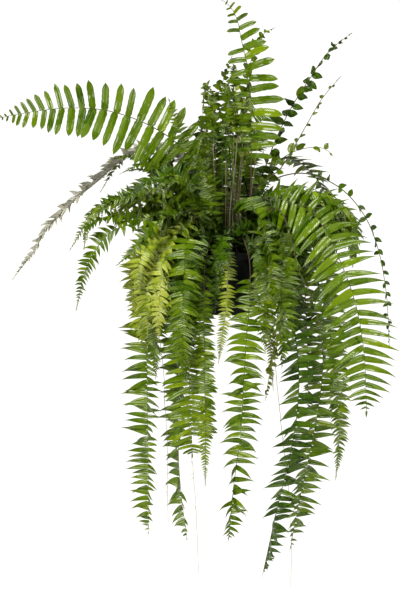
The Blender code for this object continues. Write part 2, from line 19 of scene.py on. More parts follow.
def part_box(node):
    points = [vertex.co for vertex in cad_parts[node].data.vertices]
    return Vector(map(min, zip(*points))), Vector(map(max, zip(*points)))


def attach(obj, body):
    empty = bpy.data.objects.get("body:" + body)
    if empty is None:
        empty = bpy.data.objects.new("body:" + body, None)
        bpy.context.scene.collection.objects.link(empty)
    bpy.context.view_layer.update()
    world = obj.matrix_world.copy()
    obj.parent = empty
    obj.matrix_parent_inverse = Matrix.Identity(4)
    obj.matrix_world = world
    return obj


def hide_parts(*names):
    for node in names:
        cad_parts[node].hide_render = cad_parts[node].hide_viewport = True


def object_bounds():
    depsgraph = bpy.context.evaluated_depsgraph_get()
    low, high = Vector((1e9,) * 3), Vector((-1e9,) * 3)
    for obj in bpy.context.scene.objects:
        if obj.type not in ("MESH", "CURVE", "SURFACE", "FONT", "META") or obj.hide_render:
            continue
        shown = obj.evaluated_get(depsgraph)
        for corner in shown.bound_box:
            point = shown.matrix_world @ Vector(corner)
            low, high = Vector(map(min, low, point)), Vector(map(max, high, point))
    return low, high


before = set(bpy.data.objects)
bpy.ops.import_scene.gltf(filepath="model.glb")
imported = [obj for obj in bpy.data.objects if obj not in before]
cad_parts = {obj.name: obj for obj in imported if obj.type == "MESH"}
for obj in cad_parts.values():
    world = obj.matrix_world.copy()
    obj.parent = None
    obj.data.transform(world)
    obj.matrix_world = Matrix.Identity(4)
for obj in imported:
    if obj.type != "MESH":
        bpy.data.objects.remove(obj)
CAD_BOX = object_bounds()

logging.basicConfig(level=logging.INFO, format="%(name)s: %(message)s")
log = logging.getLogger("fern")

Colour = tuple[float, float, float, float]
Point = tuple[float, float, float]
Spot = tuple[float, float]  # a place seen from above, or a range

# The frame's own measures.
POT_LOW, POT_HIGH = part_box("nursery_pot")
MIX_LOW, MIX_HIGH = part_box("potting_mix")
CROWN_LOW, CROWN_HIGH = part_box("rhizome_crown")
HUB_LOW, HUB_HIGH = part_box("hanger_hub")
RIM_Z = POT_HIGH.z
LIP_R = POT_HIGH.x
POT_HEIGHT = POT_HIGH.z - POT_LOW.z
CROWN_R = CROWN_HIGH.x

RISE_INTO_CROWN = 0.006  # how deep a stipe's foot sits in the crown
FOOT_INSET = 0.96  # and how far in, as a share of where the frame has it
SHADED = np.array((0.0, -0.02, RIM_Z + 0.03))  # the centre of the painted shade, where the foliage is darkest
SHADED_REACH = 0.11
SHADE_DEPTH = 0.32  # how much lower the tint is there, as painted shade
TINT_MIDDLE, TINT_SPREAD = 0.50, 0.28
TINT_LOW, TINT_HIGH = -0.2, 1.6
LEAF_THICKNESS = 0.02  # of a leaflet's width, at its midrib
FOOT_SIZE, FOOT_RISE = 0.62, 2.4  # leaflet size at the blade's foot, and its growth from there
TIP_POWER = 1.15  # how sharply the leaflets shrink at the tip
TIP_SPACING, SIZE_SPACING = 0.34, 0.66  # the spacing's fixed share, and the one with the size
LEAST_SIZE = 0.08  # of the longest leaflet
END_LENGTH, END_WIDTH, END_SPREAD = 0.16, 0.05, 0.1  # the leaflet that ends the frond
LENGTH_SPREAD, WIDTH_SPREAD, WIDTH_POWER = 0.07, 0.06, 0.70
RIPPLE, RIPPLE_TURN = 0.22, 5.0  # radians that a leaflet waves, and how fast
DROOP_POWER = 1.6
FOLD_EASE = 0.12  # share of the blade over which it folds
STALK_PITCH = 0.012  # distance between a stalk's rings
STEPS_ALONG = 200  # of a path, in reading its direction
SHARP_ANGLE = 70  # degrees between a leaflet's faces that stay sharp

# Directions that a blade's upper face can look in.
FRONT = (0.0, -1.0, 0.25)
FRONT_LEFT = (-0.7, -0.7, 0.2)
FRONT_RIGHT = (0.7, -0.7, 0.2)
BACK = (0.0, 1.0, 0.2)
BACK_LEFT = (-0.7, 0.7, 0.2)
BACK_RIGHT = (0.7, 0.7, 0.2)
UP = (0.0, 0.1, 1.0)
UP_FRONT = (0.0, -0.5, 1.0)


class LeafletShape(Enum):
    """The outline of a leaflet: its width at equal steps from its foot to its tip, as shares of
    the widest."""

    STRAP = (0.70, 1.0, 0.92, 1.0, 0.92, 0.99, 0.92, 0.96, 0.84, 0.54, 0.0)
    LANCE = (0.86, 1.0, 0.97, 0.92, 0.84, 0.74, 0.60, 0.43, 0.24, 0.10, 0.0)
    OVAL = (0.45, 0.92, 1.0, 0.88, 0.56, 0.0)


class Tone(Enum):
    """The leaf finishes, by name."""

    BRIGHT = "leaf_bright"
    MID = "leaf_mid"
    # DARK is a deep green that also serves as painted shade: the leaf colour made darker for
    # fronds that sit in the plant's own shade.
    DARK = "leaf_dark"
    YELLOW = "leaf_yellow"
    GREY = "leaf_grey"


@dataclass(frozen=True)
class Habit:
    """How a frond carries its leaflets."""

    shape: LeafletShape
    slim: float  # width as a share of length
    gap: float  # spacing as a share of width
    foot_angle: float  # degrees from the frond's own direction, at the blade's foot
    tip_angle: float
    lift: float  # degrees above the blade's plane
    droop: float  # how strongly gravity bends a leaflet
    sickle: float  # bend towards the frond's tip
    scatter: float  # degrees of disorder
    twist: float  # degrees that a leaflet turns about itself
    taper: float  # the share of the blade over which its tip narrows
    fade: float = 0.1  # how much shorter leaflets are at the tip than at the foot
    wander: float = 8.0  # degrees that the blade rolls to and fro
    missing: float = 0.02


class Habits(Enum):
    """The ways of growing that this fern shows."""

    ARCH = Habit(LeafletShape.STRAP, 0.222, 1.40, 88, 66, 5, 0.14, 0.16, 4, 9, 0.30, 0.0, 5, 0.0)
    TALL = Habit(LeafletShape.STRAP, 0.235, 1.55, 84, 66, 8, 0.42, 0.02, 5, 12, 0.26, 0.1, 6, 0.04)
    DRAPED = Habit(LeafletShape.LANCE, 0.168, 1.26, 82, 74, 6, 0.52, 0.02, 4, 12, 0.10, 0.1, 7,
                   0.0)
    BROAD = Habit(LeafletShape.LANCE, 0.235, 0.88, 50, 40, -6, 0.95, 0.20, 7, 16, 0.16, 0.2, 9)
    SKIRT = Habit(LeafletShape.LANCE, 0.205, 1.12, 92, 82, 12, 0.34, 0.02, 9, 20, 0.055, 0.20, 12)
    HOOKED = Habit(LeafletShape.LANCE, 0.270, 1.12, 96, 80, 12, 0.66, 0.10, 11, 26, 0.06, 0.15, 16,
                   0.03)
    DENSE = Habit(LeafletShape.LANCE, 0.230, 0.98, 86, 62, 12, 0.50, 0.16, 8, 14, 0.15, 0.15, 14)
    BLUNT = Habit(LeafletShape.STRAP, 0.185, 0.98, 90, 78, 8, 0.34, 0.06, 6, 14, 0.045, 0.05, 8)
    FINE = Habit(LeafletShape.LANCE, 0.290, 1.16, 84, 62, 8, 0.30, 0.10, 5, 9, 0.22, 0.1, 8)
    SPREAD = Habit(LeafletShape.LANCE, 0.260, 1.18, 82, 58, 8, 0.60, 0.14, 9, 16, 0.22, 0.25, 12)
    FOLDED = Habit(LeafletShape.LANCE, 0.360, 0.80, 62, 45, 48, 0.60, 0.10, 17, 45, 0.10, 0.5, 20)
    CURLED = Habit(LeafletShape.OVAL, 0.560, 1.10, 76, 56, 22, 0.75, 0.20, 24, 50, 0.08, 0.50, 18,
                   0.08)
    LOOSE = Habit(LeafletShape.LANCE, 0.340, 0.86, 78, 52, 16, 0.55, 0.16, 20, 36, 0.22, 0.3, 24,
                  0.06)
    SPARSE = Habit(LeafletShape.OVAL, 0.560, 2.40, 68, 50, 20, 0.70, 0.10, 26, 50, 0.06, 0.55, 20,
                   0.15)


def mm(*points: Point) -> tuple[Point, ...]:
    """Points given in millimetres, in metres."""
    return tuple((x / 1000, y / 1000, z / 1000) for x, y, z in points)


@dataclass(frozen=True)
class Plan:
    """One frond: where it starts on the crown, its route, and what it carries."""

    node: str
    habit: Habits
    tone: Tone
    leaflet: float  # length of its longest leaflet
    facing: Point
    start: Spot
    route: tuple[Point, ...]
    bare: float = 0.14  # share of the length that has no leaflets
    sides: Spot = (1.0, 1.0)  # size of the leaflets on either side
    fresh: float = 0.0  # how much younger and yellower its tip is
    folded: Point = (2.0, 0.0, 0.0)  # from this share: roll and lift


PLANS = (
    Plan("frond_upper_arch_left", Habits.ARCH, Tone.BRIGHT, 0.093, FRONT, (-0.024, 0.004),
         mm((-46, 4, 155), (-115, 0, 240), (-185, -8, 285), (-270, -15, 315), (-360, -20, 322),
            (-440, -25, 314), (-520, -30, 300)), bare=0.26, sides=(0.92, 1.08)),
    Plan("frond_upper_tall", Habits.TALL, Tone.BRIGHT, 0.080, FRONT, (0.020, -0.017),
         mm((47, -27, 85), (56, -32, 235), (55, -34, 330), (49, -36, 410), (33, -38, 480),
            (20, -40, 535), (4, -41, 560), (-12, -42, 572)), bare=0.36, sides=(1.0, 0.74),
         fresh=0.2),
    Plan("frond_upper_leaning_left", Habits.CURLED, Tone.MID, 0.034, FRONT, (-0.018, 0.018),
         mm((-48, 20, 100), (-64, 22, 190), (-50, 26, 265), (-22, 32, 335), (-4, 36, 385),
            (12, 38, 430)), bare=0.25, sides=(0.8, 1.0)),
    Plan("frond_upper_leaning_right", Habits.CURLED, Tone.MID, 0.036, FRONT, (0.012, 0.014),
         mm((26, 10, 150), (42, 12, 300), (55, 20, 420), (70, 28, 466), (88, 30, 487),
            (108, 32, 497)), bare=0.30, fresh=0.5),
    Plan("frond_upper_twisted_right", Habits.CURLED, Tone.DARK, 0.042, FRONT_RIGHT,
         (0.030, 0.010), mm((58, 22, 100), (83, 28, 160), (111, 32, 236), (146, 36, 310),
            (190, 40, 380), (235, 45, 444), (283, 50, 482)), bare=0.25, sides=(0.85, 1.0)),
    Plan("frond_upper_curled_right", Habits.SPARSE, Tone.MID, 0.027, FRONT_RIGHT, (0.033, -0.004),
         mm((44, -12, 95), (78, -20, 148), (117, -26, 178), (152, -32, 233), (182, -38, 288),
            (216, -44, 348), (256, -50, 398)), bare=0.3, sides=(0.8, 1.0), fresh=0.6),
    Plan("frond_upper_short_right", Habits.SPARSE, Tone.BRIGHT, 0.040, UP_FRONT, (0.038, 0.006),
         mm((78, 12, 122), (116, 15, 190), (150, 15, 214), (180, 12, 224), (225, 13, 222),
            (243, 13, 207)), bare=0.35, fresh=0.9),
    Plan("frond_upper_short_left", Habits.SPREAD, Tone.MID, 0.046, FRONT, (-0.014, -0.022),
         mm((-34, -34, 110), (-72, -40, 200), (-107, -43, 280), (-130, -46, 345)), bare=0.2),
    Plan("frond_left_edge_on", Habits.FOLDED, Tone.GREY, 0.040, UP_FRONT, (-0.032, 0.014),
         mm((-74, 48, 160), (-130, 60, 208), (-190, 65, 212), (-240, 72, 185), (-290, 80, 140),
            (-350, 86, 88), (-410, 90, 25), (-450, 94, -40), (-495, 96, -100)), bare=0.2),
    Plan("frond_left_long", Habits.SPREAD, Tone.MID, 0.050, UP_FRONT, (-0.034, -0.012),
         mm((-72, -22, 130), (-120, -30, 172), (-170, -36, 150), (-212, -42, 120),
            (-255, -48, 114), (-308, -55, 74), (-354, -60, 4)), fresh=0.3),
    Plan("frond_left_low", Habits.SPREAD, Tone.MID, 0.047, UP_FRONT, (-0.042, -0.022),
         mm((-85, -48, 85), (-140, -72, 92), (-200, -86, 72), (-262, -98, 50), (-297, -104, 10),
            (-317, -108, -30), (-340, -112, -125))),
    Plan("frond_left_front", Habits.LOOSE, Tone.BRIGHT, 0.042, UP_FRONT, (-0.038, -0.034),
         mm((-82, -80, 90), (-128, -118, 92), (-166, -138, 70), (-195, -150, 36), (-222, -156, 8),
            (-246, -160, -12))),
    Plan("frond_left_broad", Habits.SPREAD, Tone.DARK, 0.055, UP_FRONT, (-0.026, -0.028),
         mm((-52, -52, 120), (-92, -68, 165), (-150, -82, 172), (-200, -94, 152),
            (-240, -102, 118)), bare=0.12),
    Plan("frond_left_behind", Habits.SPREAD, Tone.MID, 0.048, UP, (-0.026, 0.026),
         mm((-62, 66, 140), (-118, 100, 200), (-190, 128, 206), (-250, 142, 160),
            (-292, 152, 95)), bare=0.12),
    Plan("frond_right_great_arch", Habits.DRAPED, Tone.BRIGHT, 0.108, FRONT, (0.044, -0.022),
         mm((56, -34, 100), (100, -56, 122), (148, -70, 112), (193, -80, 92), (229, -88, 42),
            (262, -92, -28), (292, -96, -112), (312, -98, -220), (320, -98, -368)), bare=0.21,
         sides=(1.05, 0.86)),
    Plan("frond_right_broad", Habits.BROAD, Tone.MID, 0.074, UP_FRONT, (0.040, -0.010),
         mm((66, -14, 100), (110, -20, 130), (172, -26, 134), (232, -32, 116), (278, -36, 84),
            (305, -40, 44)), bare=0.2, sides=(1.0, 0.55)),
    Plan("frond_right_sparse_outer", Habits.SPARSE, Tone.DARK, 0.024, UP_FRONT, (0.042, 0.016),
         mm((92, 44, 136), (170, 58, 158), (254, 62, 128), (318, 64, 58), (350, 62, -20),
            (368, 58, -110), (378, 54, -250)), bare=0.35),
    Plan("frond_right_bare", Habits.SPARSE, Tone.DARK, 0.030, FRONT_RIGHT, (0.036, -0.038),
         mm((80, -62, 84), (118, -110, 106), (142, -138, 58), (160, -150, -20), (184, -152, -75),
            (206, -152, -135), (220, -150, -240)), bare=0.4),
    Plan("frond_skirt_left_1", Habits.DENSE, Tone.YELLOW, 0.062, FRONT_LEFT, (-0.049, -0.010),
         mm((-98, -24, 62), (-148, -36, 52), (-172, -42, 0), (-180, -44, -80), (-184, -44, -175)),
         bare=0.12, fresh=0.8),
    Plan("frond_skirt_left_2", Habits.DENSE, Tone.YELLOW, 0.050, FRONT_LEFT, (-0.042, -0.036),
         mm((-76, -72, 62), (-114, -100, 48), (-138, -114, 0), (-150, -120, -85),
            (-154, -120, -190)), bare=0.12, fresh=0.7),
    Plan("frond_skirt_left_3", Habits.SKIRT, Tone.MID, 0.062, FRONT_LEFT, (-0.052, 0.008),
         mm((-102, 16, 52), (-148, 22, 26), (-172, 24, -60), (-182, 24, -200), (-182, 22, -360),
            (-180, 18, -520), (-180, 12, -685)), bare=0.1, sides=(1.15, 0.8), fresh=0.3),
    Plan("frond_skirt_left_4", Habits.HOOKED, Tone.BRIGHT, 0.060, FRONT_LEFT, (-0.048, 0.024),
         mm((-82, 42, 38), (-110, 56, 0), (-118, 60, -80), (-114, 56, -200), (-106, 44, -360),
            (-110, 30, -500), (-102, 20, -610), (-90, 14, -700)), bare=0.1, sides=(1.1, 0.8),
         folded=(0.6, -14.0, 8.0)),
    Plan("frond_skirt_left_5", Habits.BLUNT, Tone.MID, 0.062, FRONT, (-0.034, -0.046),
         mm((-54, -76, 40), (-76, -98, 22), (-86, -108, -50), (-87, -108, -150),
            (-84, -104, -300), (-77, -100, -468)), bare=0.1, fresh=0.5),
    Plan("frond_skirt_front_1", Habits.FINE, Tone.MID, 0.031, FRONT, (-0.020, -0.053),
         mm((-32, -92, 38), (-46, -124, 0), (-51, -132, -100), (-50, -132, -220),
            (-48, -128, -380), (-48, -122, -535)), bare=0.30, fresh=1.2),
    Plan("frond_skirt_front_2", Habits.SPREAD, Tone.DARK, 0.044, FRONT, (-0.010, -0.054),
         mm((-16, -86, 30), (-22, -106, -5), (-24, -110, -70), (-26, -108, -130)), bare=0.2),
    Plan("frond_skirt_front_3", Habits.FINE, Tone.YELLOW, 0.024, FRONT, (0.004, -0.056),
         mm((6, -90, 34), (5, -114, -2), (2, -120, -60), (-2, -120, -135), (-10, -116, -185),
            (-18, -112, -250)), bare=0.24, fresh=-0.4),
    Plan("frond_skirt_right_1", Habits.HOOKED, Tone.BRIGHT, 0.054, FRONT, (0.020, -0.053),
         mm((34, -88, 42), (48, -112, 8), (54, -120, -80), (45, -122, -190), (39, -120, -300),
            (33, -116, -410), (18, -110, -530), (5, -105, -670)), bare=0.22, fresh=0.2,
         folded=(0.62, 42.0, 34.0)),
    Plan("frond_skirt_right_2", Habits.DENSE, Tone.MID, 0.062, FRONT_RIGHT, (0.030, -0.030),
         mm((44, -62, 118), (72, -88, 88), (92, -104, 36), (106, -112, -10), (118, -114, -60),
            (126, -112, -140), (126, -106, -260)), bare=0.16),
    Plan("frond_skirt_right_3", Habits.SKIRT, Tone.DARK, 0.078, FRONT_RIGHT, (0.046, -0.030),
         mm((82, -50, 52), (118, -64, 14), (138, -68, -80), (158, -68, -200), (166, -66, -290),
            (160, -62, -400), (144, -60, -490), (118, -56, -605), (85, -52, -765)), bare=0.1,
         folded=(0.8, 20.0, 20.0)),
    Plan("frond_skirt_right_4", Habits.SKIRT, Tone.MID, 0.074, FRONT_RIGHT, (0.053, -0.002),
         mm((108, -4, 66), (164, -6, 50), (204, -6, -50), (221, -6, -180), (222, -6, -290),
            (208, -6, -410), (190, -8, -505), (170, -10, -600), (150, -12, -712)), bare=0.12),
    Plan("frond_skirt_right_5", Habits.DENSE, Tone.MID, 0.050, FRONT_RIGHT, (0.051, 0.018),
         mm((108, 38, 85), (178, 50, 72), (224, 56, -30), (243, 56, -220), (256, 54, -345),
            (264, 52, -450), (256, 50, -565)), bare=0.12, fresh=0.4),
    Plan("frond_skirt_right_6", Habits.CURLED, Tone.YELLOW, 0.026, FRONT_RIGHT, (0.054, -0.014),
         mm((88, -20, 26), (112, -24, -10), (119, -26, -100), (112, -24, -210), (101, -22, -285),
            (90, -20, -360)), bare=0.1),
    Plan("frond_back_hanging_1", Habits.SKIRT, Tone.MID, 0.052, BACK_LEFT, (-0.040, 0.038),
         mm((-80, 76, 72), (-122, 110, 68), (-148, 132, 0), (-162, 142, -130), (-168, 144, -320)),
         bare=0.12),
    Plan("frond_back_hanging_2", Habits.DENSE, Tone.DARK, 0.050, BACK, (-0.022, 0.050),
         mm((-42, 94, 70), (-60, 132, 62), (-74, 158, 0), (-84, 166, -150), (-90, 166, -330)),
         bare=0.12),
    Plan("frond_back_hanging_3", Habits.SPREAD, Tone.YELLOW, 0.036, BACK, (0.022, 0.050),
         mm((44, 94, 66), (66, 134, 54), (84, 160, -20), (98, 170, -180), (112, 172, -380)),
         bare=0.12),
    Plan("frond_back_hanging_4", Habits.SKIRT, Tone.MID, 0.056, BACK_RIGHT, (0.042, 0.036),
         mm((86, 74, 78), (134, 108, 72), (168, 130, -20), (188, 140, -200), (194, 142, -420)),
         bare=0.12),
    Plan("frond_back_arch_1", Habits.SPREAD, Tone.YELLOW, 0.046, UP, (-0.044, 0.018),
         mm((-108, 68, 118), (-168, 100, 136), (-225, 122, 98), (-258, 138, 20)), bare=0.1),
    Plan("frond_back_arch_2", Habits.ARCH, Tone.BRIGHT, 0.062, UP, (-0.018, 0.034),
         mm((-56, 100, 150), (-95, 170, 200), (-134, 240, 182), (-165, 292, 115)), bare=0.15),
    Plan("frond_back_arch_3", Habits.SPREAD, Tone.MID, 0.054, UP, (-0.008, 0.042),
         mm((-26, 120, 118), (-45, 205, 120), (-56, 265, 50), (-60, 290, -50)), bare=0.08),
    Plan("frond_back_arch_4", Habits.DRAPED, Tone.BRIGHT, 0.070, UP, (0.006, 0.036),
         mm((16, 110, 165), (24, 200, 215), (30, 285, 180), (34, 345, 100), (36, 378, 10)),
         bare=0.15),
    Plan("frond_back_arch_5", Habits.SPREAD, Tone.MID, 0.052, UP, (0.012, 0.046),
         mm((36, 118, 102), (58, 190, 100), (70, 245, 30), (76, 270, -80)), bare=0.08),
    Plan("frond_back_arch_6", Habits.SPREAD, Tone.MID, 0.056, UP, (0.028, 0.030),
         mm((82, 88, 150), (142, 142, 178), (205, 195, 128), (245, 228, 45), (262, 245, -55)),
         bare=0.15),
    Plan("frond_back_upright_1", Habits.SPREAD, Tone.DARK, 0.050, FRONT, (-0.008, 0.024),
         mm((-18, 58, 120), (-26, 90, 210), (-32, 128, 285)), bare=0.06),
    Plan("frond_back_upright_2", Habits.SPREAD, Tone.MID, 0.054, FRONT, (0.014, 0.026),
         mm((40, 78, 155), (68, 136, 240), (96, 196, 272), (116, 246, 250)), bare=0.06),
)


def deselect_all() -> None:
    """Leaves object mode with nothing selected and nothing active."""
    if bpy.context.mode != "OBJECT":
        bpy.ops.object.mode_set(mode="OBJECT")
    bpy.ops.object.select_all(action="DESELECT")
    bpy.context.view_layer.objects.active = None


def activate(made: bpy.types.Object) -> None:
    """Selects one object alone and makes it active.

    Args:
        made: The object to work on.
    """
    deselect_all()
    made.select_set(True)
    bpy.context.view_layer.objects.active = made


class Graph:
    """A small helper that adds and links a material's nodes."""

    def __init__(self, name: str) -> None:
        """Starts an empty material with a Principled shader.

        Args:
            name: The material's name.
        """
        self.material = bpy.data.materials.new(name)
        self.material.use_nodes = True
        self.nodes = self.material.node_tree.nodes
        self.links = self.material.node_tree.links
        self.shader = self.nodes["Principled BSDF"]

    def add(self, kind: str, inputs: dict | None = None, **settings: object) -> bpy.types.Node:
        """Adds a node.

        Args:
            kind: Its Blender type name without the ShaderNode prefix.
            inputs: Values or sockets for its inputs, by name or number.
            settings: Its own properties.

        Returns:
            The node.
        """
        node = self.nodes.new("ShaderNode" + kind)
        for key, value in settings.items():
            setattr(node, key, value)
        for key, value in (inputs or {}).items():
            self.feed(node.inputs[key], value)
        return node

    def feed(self, socket: bpy.types.NodeSocket, value: object) -> None:
        """Links a socket to an input, or sets the input's value."""
        if isinstance(value, bpy.types.NodeSocket):
            self.links.new(value, socket)
        else:
            socket.default_value = value

    def math(self, operation: str, first: object, second: object = 0.0) -> bpy.types.NodeSocket:
        """A Math node's result."""
        return self.add("Math", {0: first, 1: second}, operation=operation).outputs[0]

    def plus(self, first: object, second: object) -> bpy.types.NodeSocket:
        """A sum."""
        return self.math("ADD", first, second)

    def minus(self, first: object, second: object) -> bpy.types.NodeSocket:
        """A difference."""
        return self.math("SUBTRACT", first, second)

    def times(self, first: object, second: object) -> bpy.types.NodeSocket:
        """A product."""
        return self.math("MULTIPLY", first, second)

    def ramp(self, value: object, low: float, high: float, to_low: float = 0.0,
             to_high: float = 1.0) -> bpy.types.NodeSocket:
        """A value mapped from one range to another and kept inside it."""
        inputs = {0: value, 1: low, 2: high, 3: to_low, 4: to_high}
        return self.add("MapRange", inputs, clamp=True).outputs[0]

    def mix(self, share: object, first: object, second: object) -> bpy.types.NodeSocket:
        """Two colours mixed.

        Args:
            share: How much of the second there is.
            first: A colour or a socket.
            second: A colour or a socket.

        Returns:
            The colour.
        """
        node = self.nodes.new("ShaderNodeMix")
        node.data_type = "RGBA"
        self.feed(node.inputs[0], share)
        self.feed(node.inputs[6], first)
        self.feed(node.inputs[7], second)
        return node.outputs[2]

    def attribute(self, name: str) -> bpy.types.NodeSocket:
        """A mesh attribute's value."""
        return self.add("Attribute", attribute_name=name).outputs["Fac"]

    def grain(self, scale: float, detail: float = 3.0,
              rough: float = 0.55) -> bpy.types.NodeSocket:
        """Noise on the object's own coordinates.

        Args:
            scale: How many times it changes in a metre.
            detail: How many finer layers it has.
            rough: How strong they are.

        Returns:
            A value round 0.5.
        """
        place = self.add("TexCoord").outputs["Object"]
        inputs = {"Vector": place, "Scale": scale, "Detail": detail, "Roughness": rough}
        return self.add("TexNoise", inputs).outputs["Fac"]

    def bump(self, height: object, strength: float, distance: float) -> None:
        """Raises the shader's normal by a height."""
        inputs = {"Height": height, "Strength": strength, "Distance": distance}
        self.feed(self.shader.inputs["Normal"], self.add("Bump", inputs).outputs[0])

    def finish(self, **inputs: object) -> bpy.types.Material:
        """Sets the shader's inputs, with underscores for spaces, and returns the material."""
        for key, value in inputs.items():
            self.feed(self.shader.inputs[key.replace("_", " ")], value)
        return self.material


def rgb(red: float, green: float, blue: float) -> Colour:
    """An opaque linear colour."""
    return (red, green, blue, 1.0)


VEINS, VEIN_SLANT = 112.0, 36.0  # how close the veins are, and how they lean
SPOT_LINE = 0.27  # where the pale spots stand, between the midrib and the margin: lime dots, painted brighter as painted highlights
# The pale spots' colour: lime dots made near-white to serve as painted highlights.
LIME_AND_HIGHLIGHT_SPOT = rgb(0.900, 0.950, 0.680)
DRY_SPOT = rgb(0.120, 0.072, 0.026)
LEAF_SHEEN = rgb(0.80, 1.0, 0.30)


@dataclass(frozen=True)
class LeafFinish:
    """The finish of a leaflet: veined, waxy, paler below, lighter towards its tip, with rows of
    pale lime dots painted bright and dense as painted highlights, strongest on the lighter
    leaflets.
    """

    tone: Tone
    deep: Colour
    light: Colour
    fresh: Colour
    rib: Colour
    roughness: float = 0.21
    blemish: float = 0.02
    # spots: how strongly the pale lime dots show, painted bright as painted highlights
    spots: float = 0.85

    def build(self) -> bpy.types.Material:
        """Makes the material.

        Returns:
            The leaf material, which reads the map and the attributes of a frond.
        """
        graph = Graph("fern " + self.tone.value)
        place = graph.add("UVMap", uv_map="leaflet").outputs[0]
        parts = graph.add("SeparateXYZ", {0: place})
        along, across = parts.outputs[0], parts.outputs[1]
        from_rib = graph.math("ABSOLUTE", graph.minus(across, 0.5))
        # The tint carries random tone, the fresh tip and painted shade near the crown.
        tint = graph.attribute("tint")
        patches = graph.grain(15.0, 2.0)
        mottle = graph.grain(300.0, 3.0)
        share = graph.plus(graph.times(tint, 0.60), graph.ramp(patches, 0.35, 0.65, 0.0, 0.34))
        share = graph.plus(share, graph.times(mottle, 0.14))
        colour = graph.mix(graph.ramp(share, 0.15, 0.85), self.deep, self.light)
        colour = graph.mix(graph.ramp(tint, 0.62, 1.35, 0.0, 0.9), colour, self.fresh)
        colour = graph.mix(graph.ramp(along, 0.5, 1.0, 0.0, 0.4), colour, self.light)
        slant = graph.plus(graph.times(along, VEINS), graph.times(from_rib, -VEIN_SLANT))
        vein = graph.math("SINE", slant)
        colour = graph.mix(graph.ramp(vein, 0.3, 1.0, 0.0, 0.14), colour, self.rib)
        midrib = graph.ramp(from_rib, 0.02, 0.065, 1.0, 0.0)
        colour = graph.mix(graph.times(midrib, 0.55), colour, self.rib)
        # Painted highlights: pale lime dots in a row on each side of the midrib, broken by the
        # veins and patches, and stronger on lighter-tinted leaflets.
        beside = graph.math("ABSOLUTE", graph.minus(from_rib, SPOT_LINE))
        lime_and_highlight = graph.times(graph.ramp(beside, 0.08, 0.13, 1.0, 0.0),
                            graph.ramp(vein, 0.0, 0.35))
        lime_and_highlight = graph.times(lime_and_highlight, graph.ramp(graph.grain(27.0, 2.0), 0.49, 0.55))
        lime_and_highlight = graph.times(lime_and_highlight, graph.ramp(tint, 0.15, 0.75, 0.25, 1.0))
        colour = graph.mix(graph.times(lime_and_highlight, self.spots), colour, LIME_AND_HIGHLIGHT_SPOT)
        under = graph.attribute("under")
        pale = rgb(*(0.6 * a + 0.4 * b + 0.012 for a, b in zip(self.light[:3], self.rib[:3])))
        colour = graph.mix(graph.times(under, 0.5), colour, pale)
        spots = graph.ramp(graph.grain(42.0, 4.0, 0.7), 0.70 - self.blemish, 0.78)
        spots = graph.times(spots, graph.ramp(along, 0.2, 1.0, 0.3, 1.0))
        colour = graph.mix(graph.times(spots, 0.8), colour, DRY_SPOT)
        relief = graph.minus(graph.times(vein, 0.5), graph.times(midrib, 1.0))
        relief = graph.plus(relief, graph.times(graph.grain(120.0, 2.0), 0.9))
        graph.bump(relief, 0.8, 0.0009)
        rough = graph.ramp(mottle, 0.3, 0.7, self.roughness - 0.05, self.roughness + 0.10)
        return graph.finish(Base_Color=colour, Roughness=rough, Specular_IOR_Level=0.20,
                            Specular_Tint=LEAF_SHEEN)


@dataclass(frozen=True)
class StalkFinish:
    """The finish of stipes, rachises and runners: brown and scaly below, greener above."""

    name: str
    foot: Colour
    top: Colour

    def build(self) -> bpy.types.Material:
        """Makes the material."""
        graph = Graph("fern " + self.name)
        along = graph.attribute("tint")
        scales = graph.grain(420.0, 2.0)
        colour = graph.mix(graph.ramp(along, 0.02, 0.7), self.foot, self.top)
        colour = graph.mix(graph.ramp(scales, 0.5, 0.75, 0.0, 0.55), colour,
                           rgb(0.085, 0.045, 0.022))
        graph.bump(scales, 0.5, 0.0005)
        rough = graph.ramp(scales, 0.3, 0.7, 0.42, 0.7)
        return graph.finish(Base_Color=colour, Roughness=rough)


@dataclass(frozen=True)
class PlasticFinish:
    """Thin black moulded plastic, a little dusty and scuffed."""

    name: str
    colour: Colour
    roughness: float

    def build(self) -> bpy.types.Material:
        """Makes the material."""
        graph = Graph("fern " + self.name)
        haze = graph.grain(22.0, 5.0, 0.65)
        pores = graph.grain(1500.0, 2.0)
        dust = graph.ramp(haze, 0.48, 0.72, 0.0, 0.35)
        colour = graph.mix(dust, self.colour, rgb(0.014, 0.016, 0.010))
        rough = graph.ramp(haze, 0.35, 0.7, self.roughness, self.roughness + 0.2)
        graph.bump(pores, 0.12, 0.0003)
        return graph.finish(Base_Color=colour, Roughness=rough, Specular_IOR_Level=0.16)


@dataclass(frozen=True)
class EarthFinish:
    """Crumbly matter: potting mix, bark or the crown's dry scales."""

    name: str
    dark: Colour
    light: Colour
    scale: float

    def build(self) -> bpy.types.Material:
        """Makes the material."""
        graph = Graph("fern " + self.name)
        crumbs = graph.grain(self.scale, 6.0, 0.7)
        fibres = graph.grain(self.scale * 6, 3.0)
        share = graph.plus(graph.ramp(crumbs, 0.35, 0.7, 0.0, 0.7),
                           graph.ramp(fibres, 0.5, 0.75, 0.0, 0.35))
        colour = graph.mix(share, self.dark, self.light)
        graph.bump(graph.plus(crumbs, graph.times(fibres, 0.4)), 0.8, 0.003)
        return graph.finish(Base_Color=colour, Roughness=graph.ramp(crumbs, 0.3, 0.7, 0.78, 0.97))


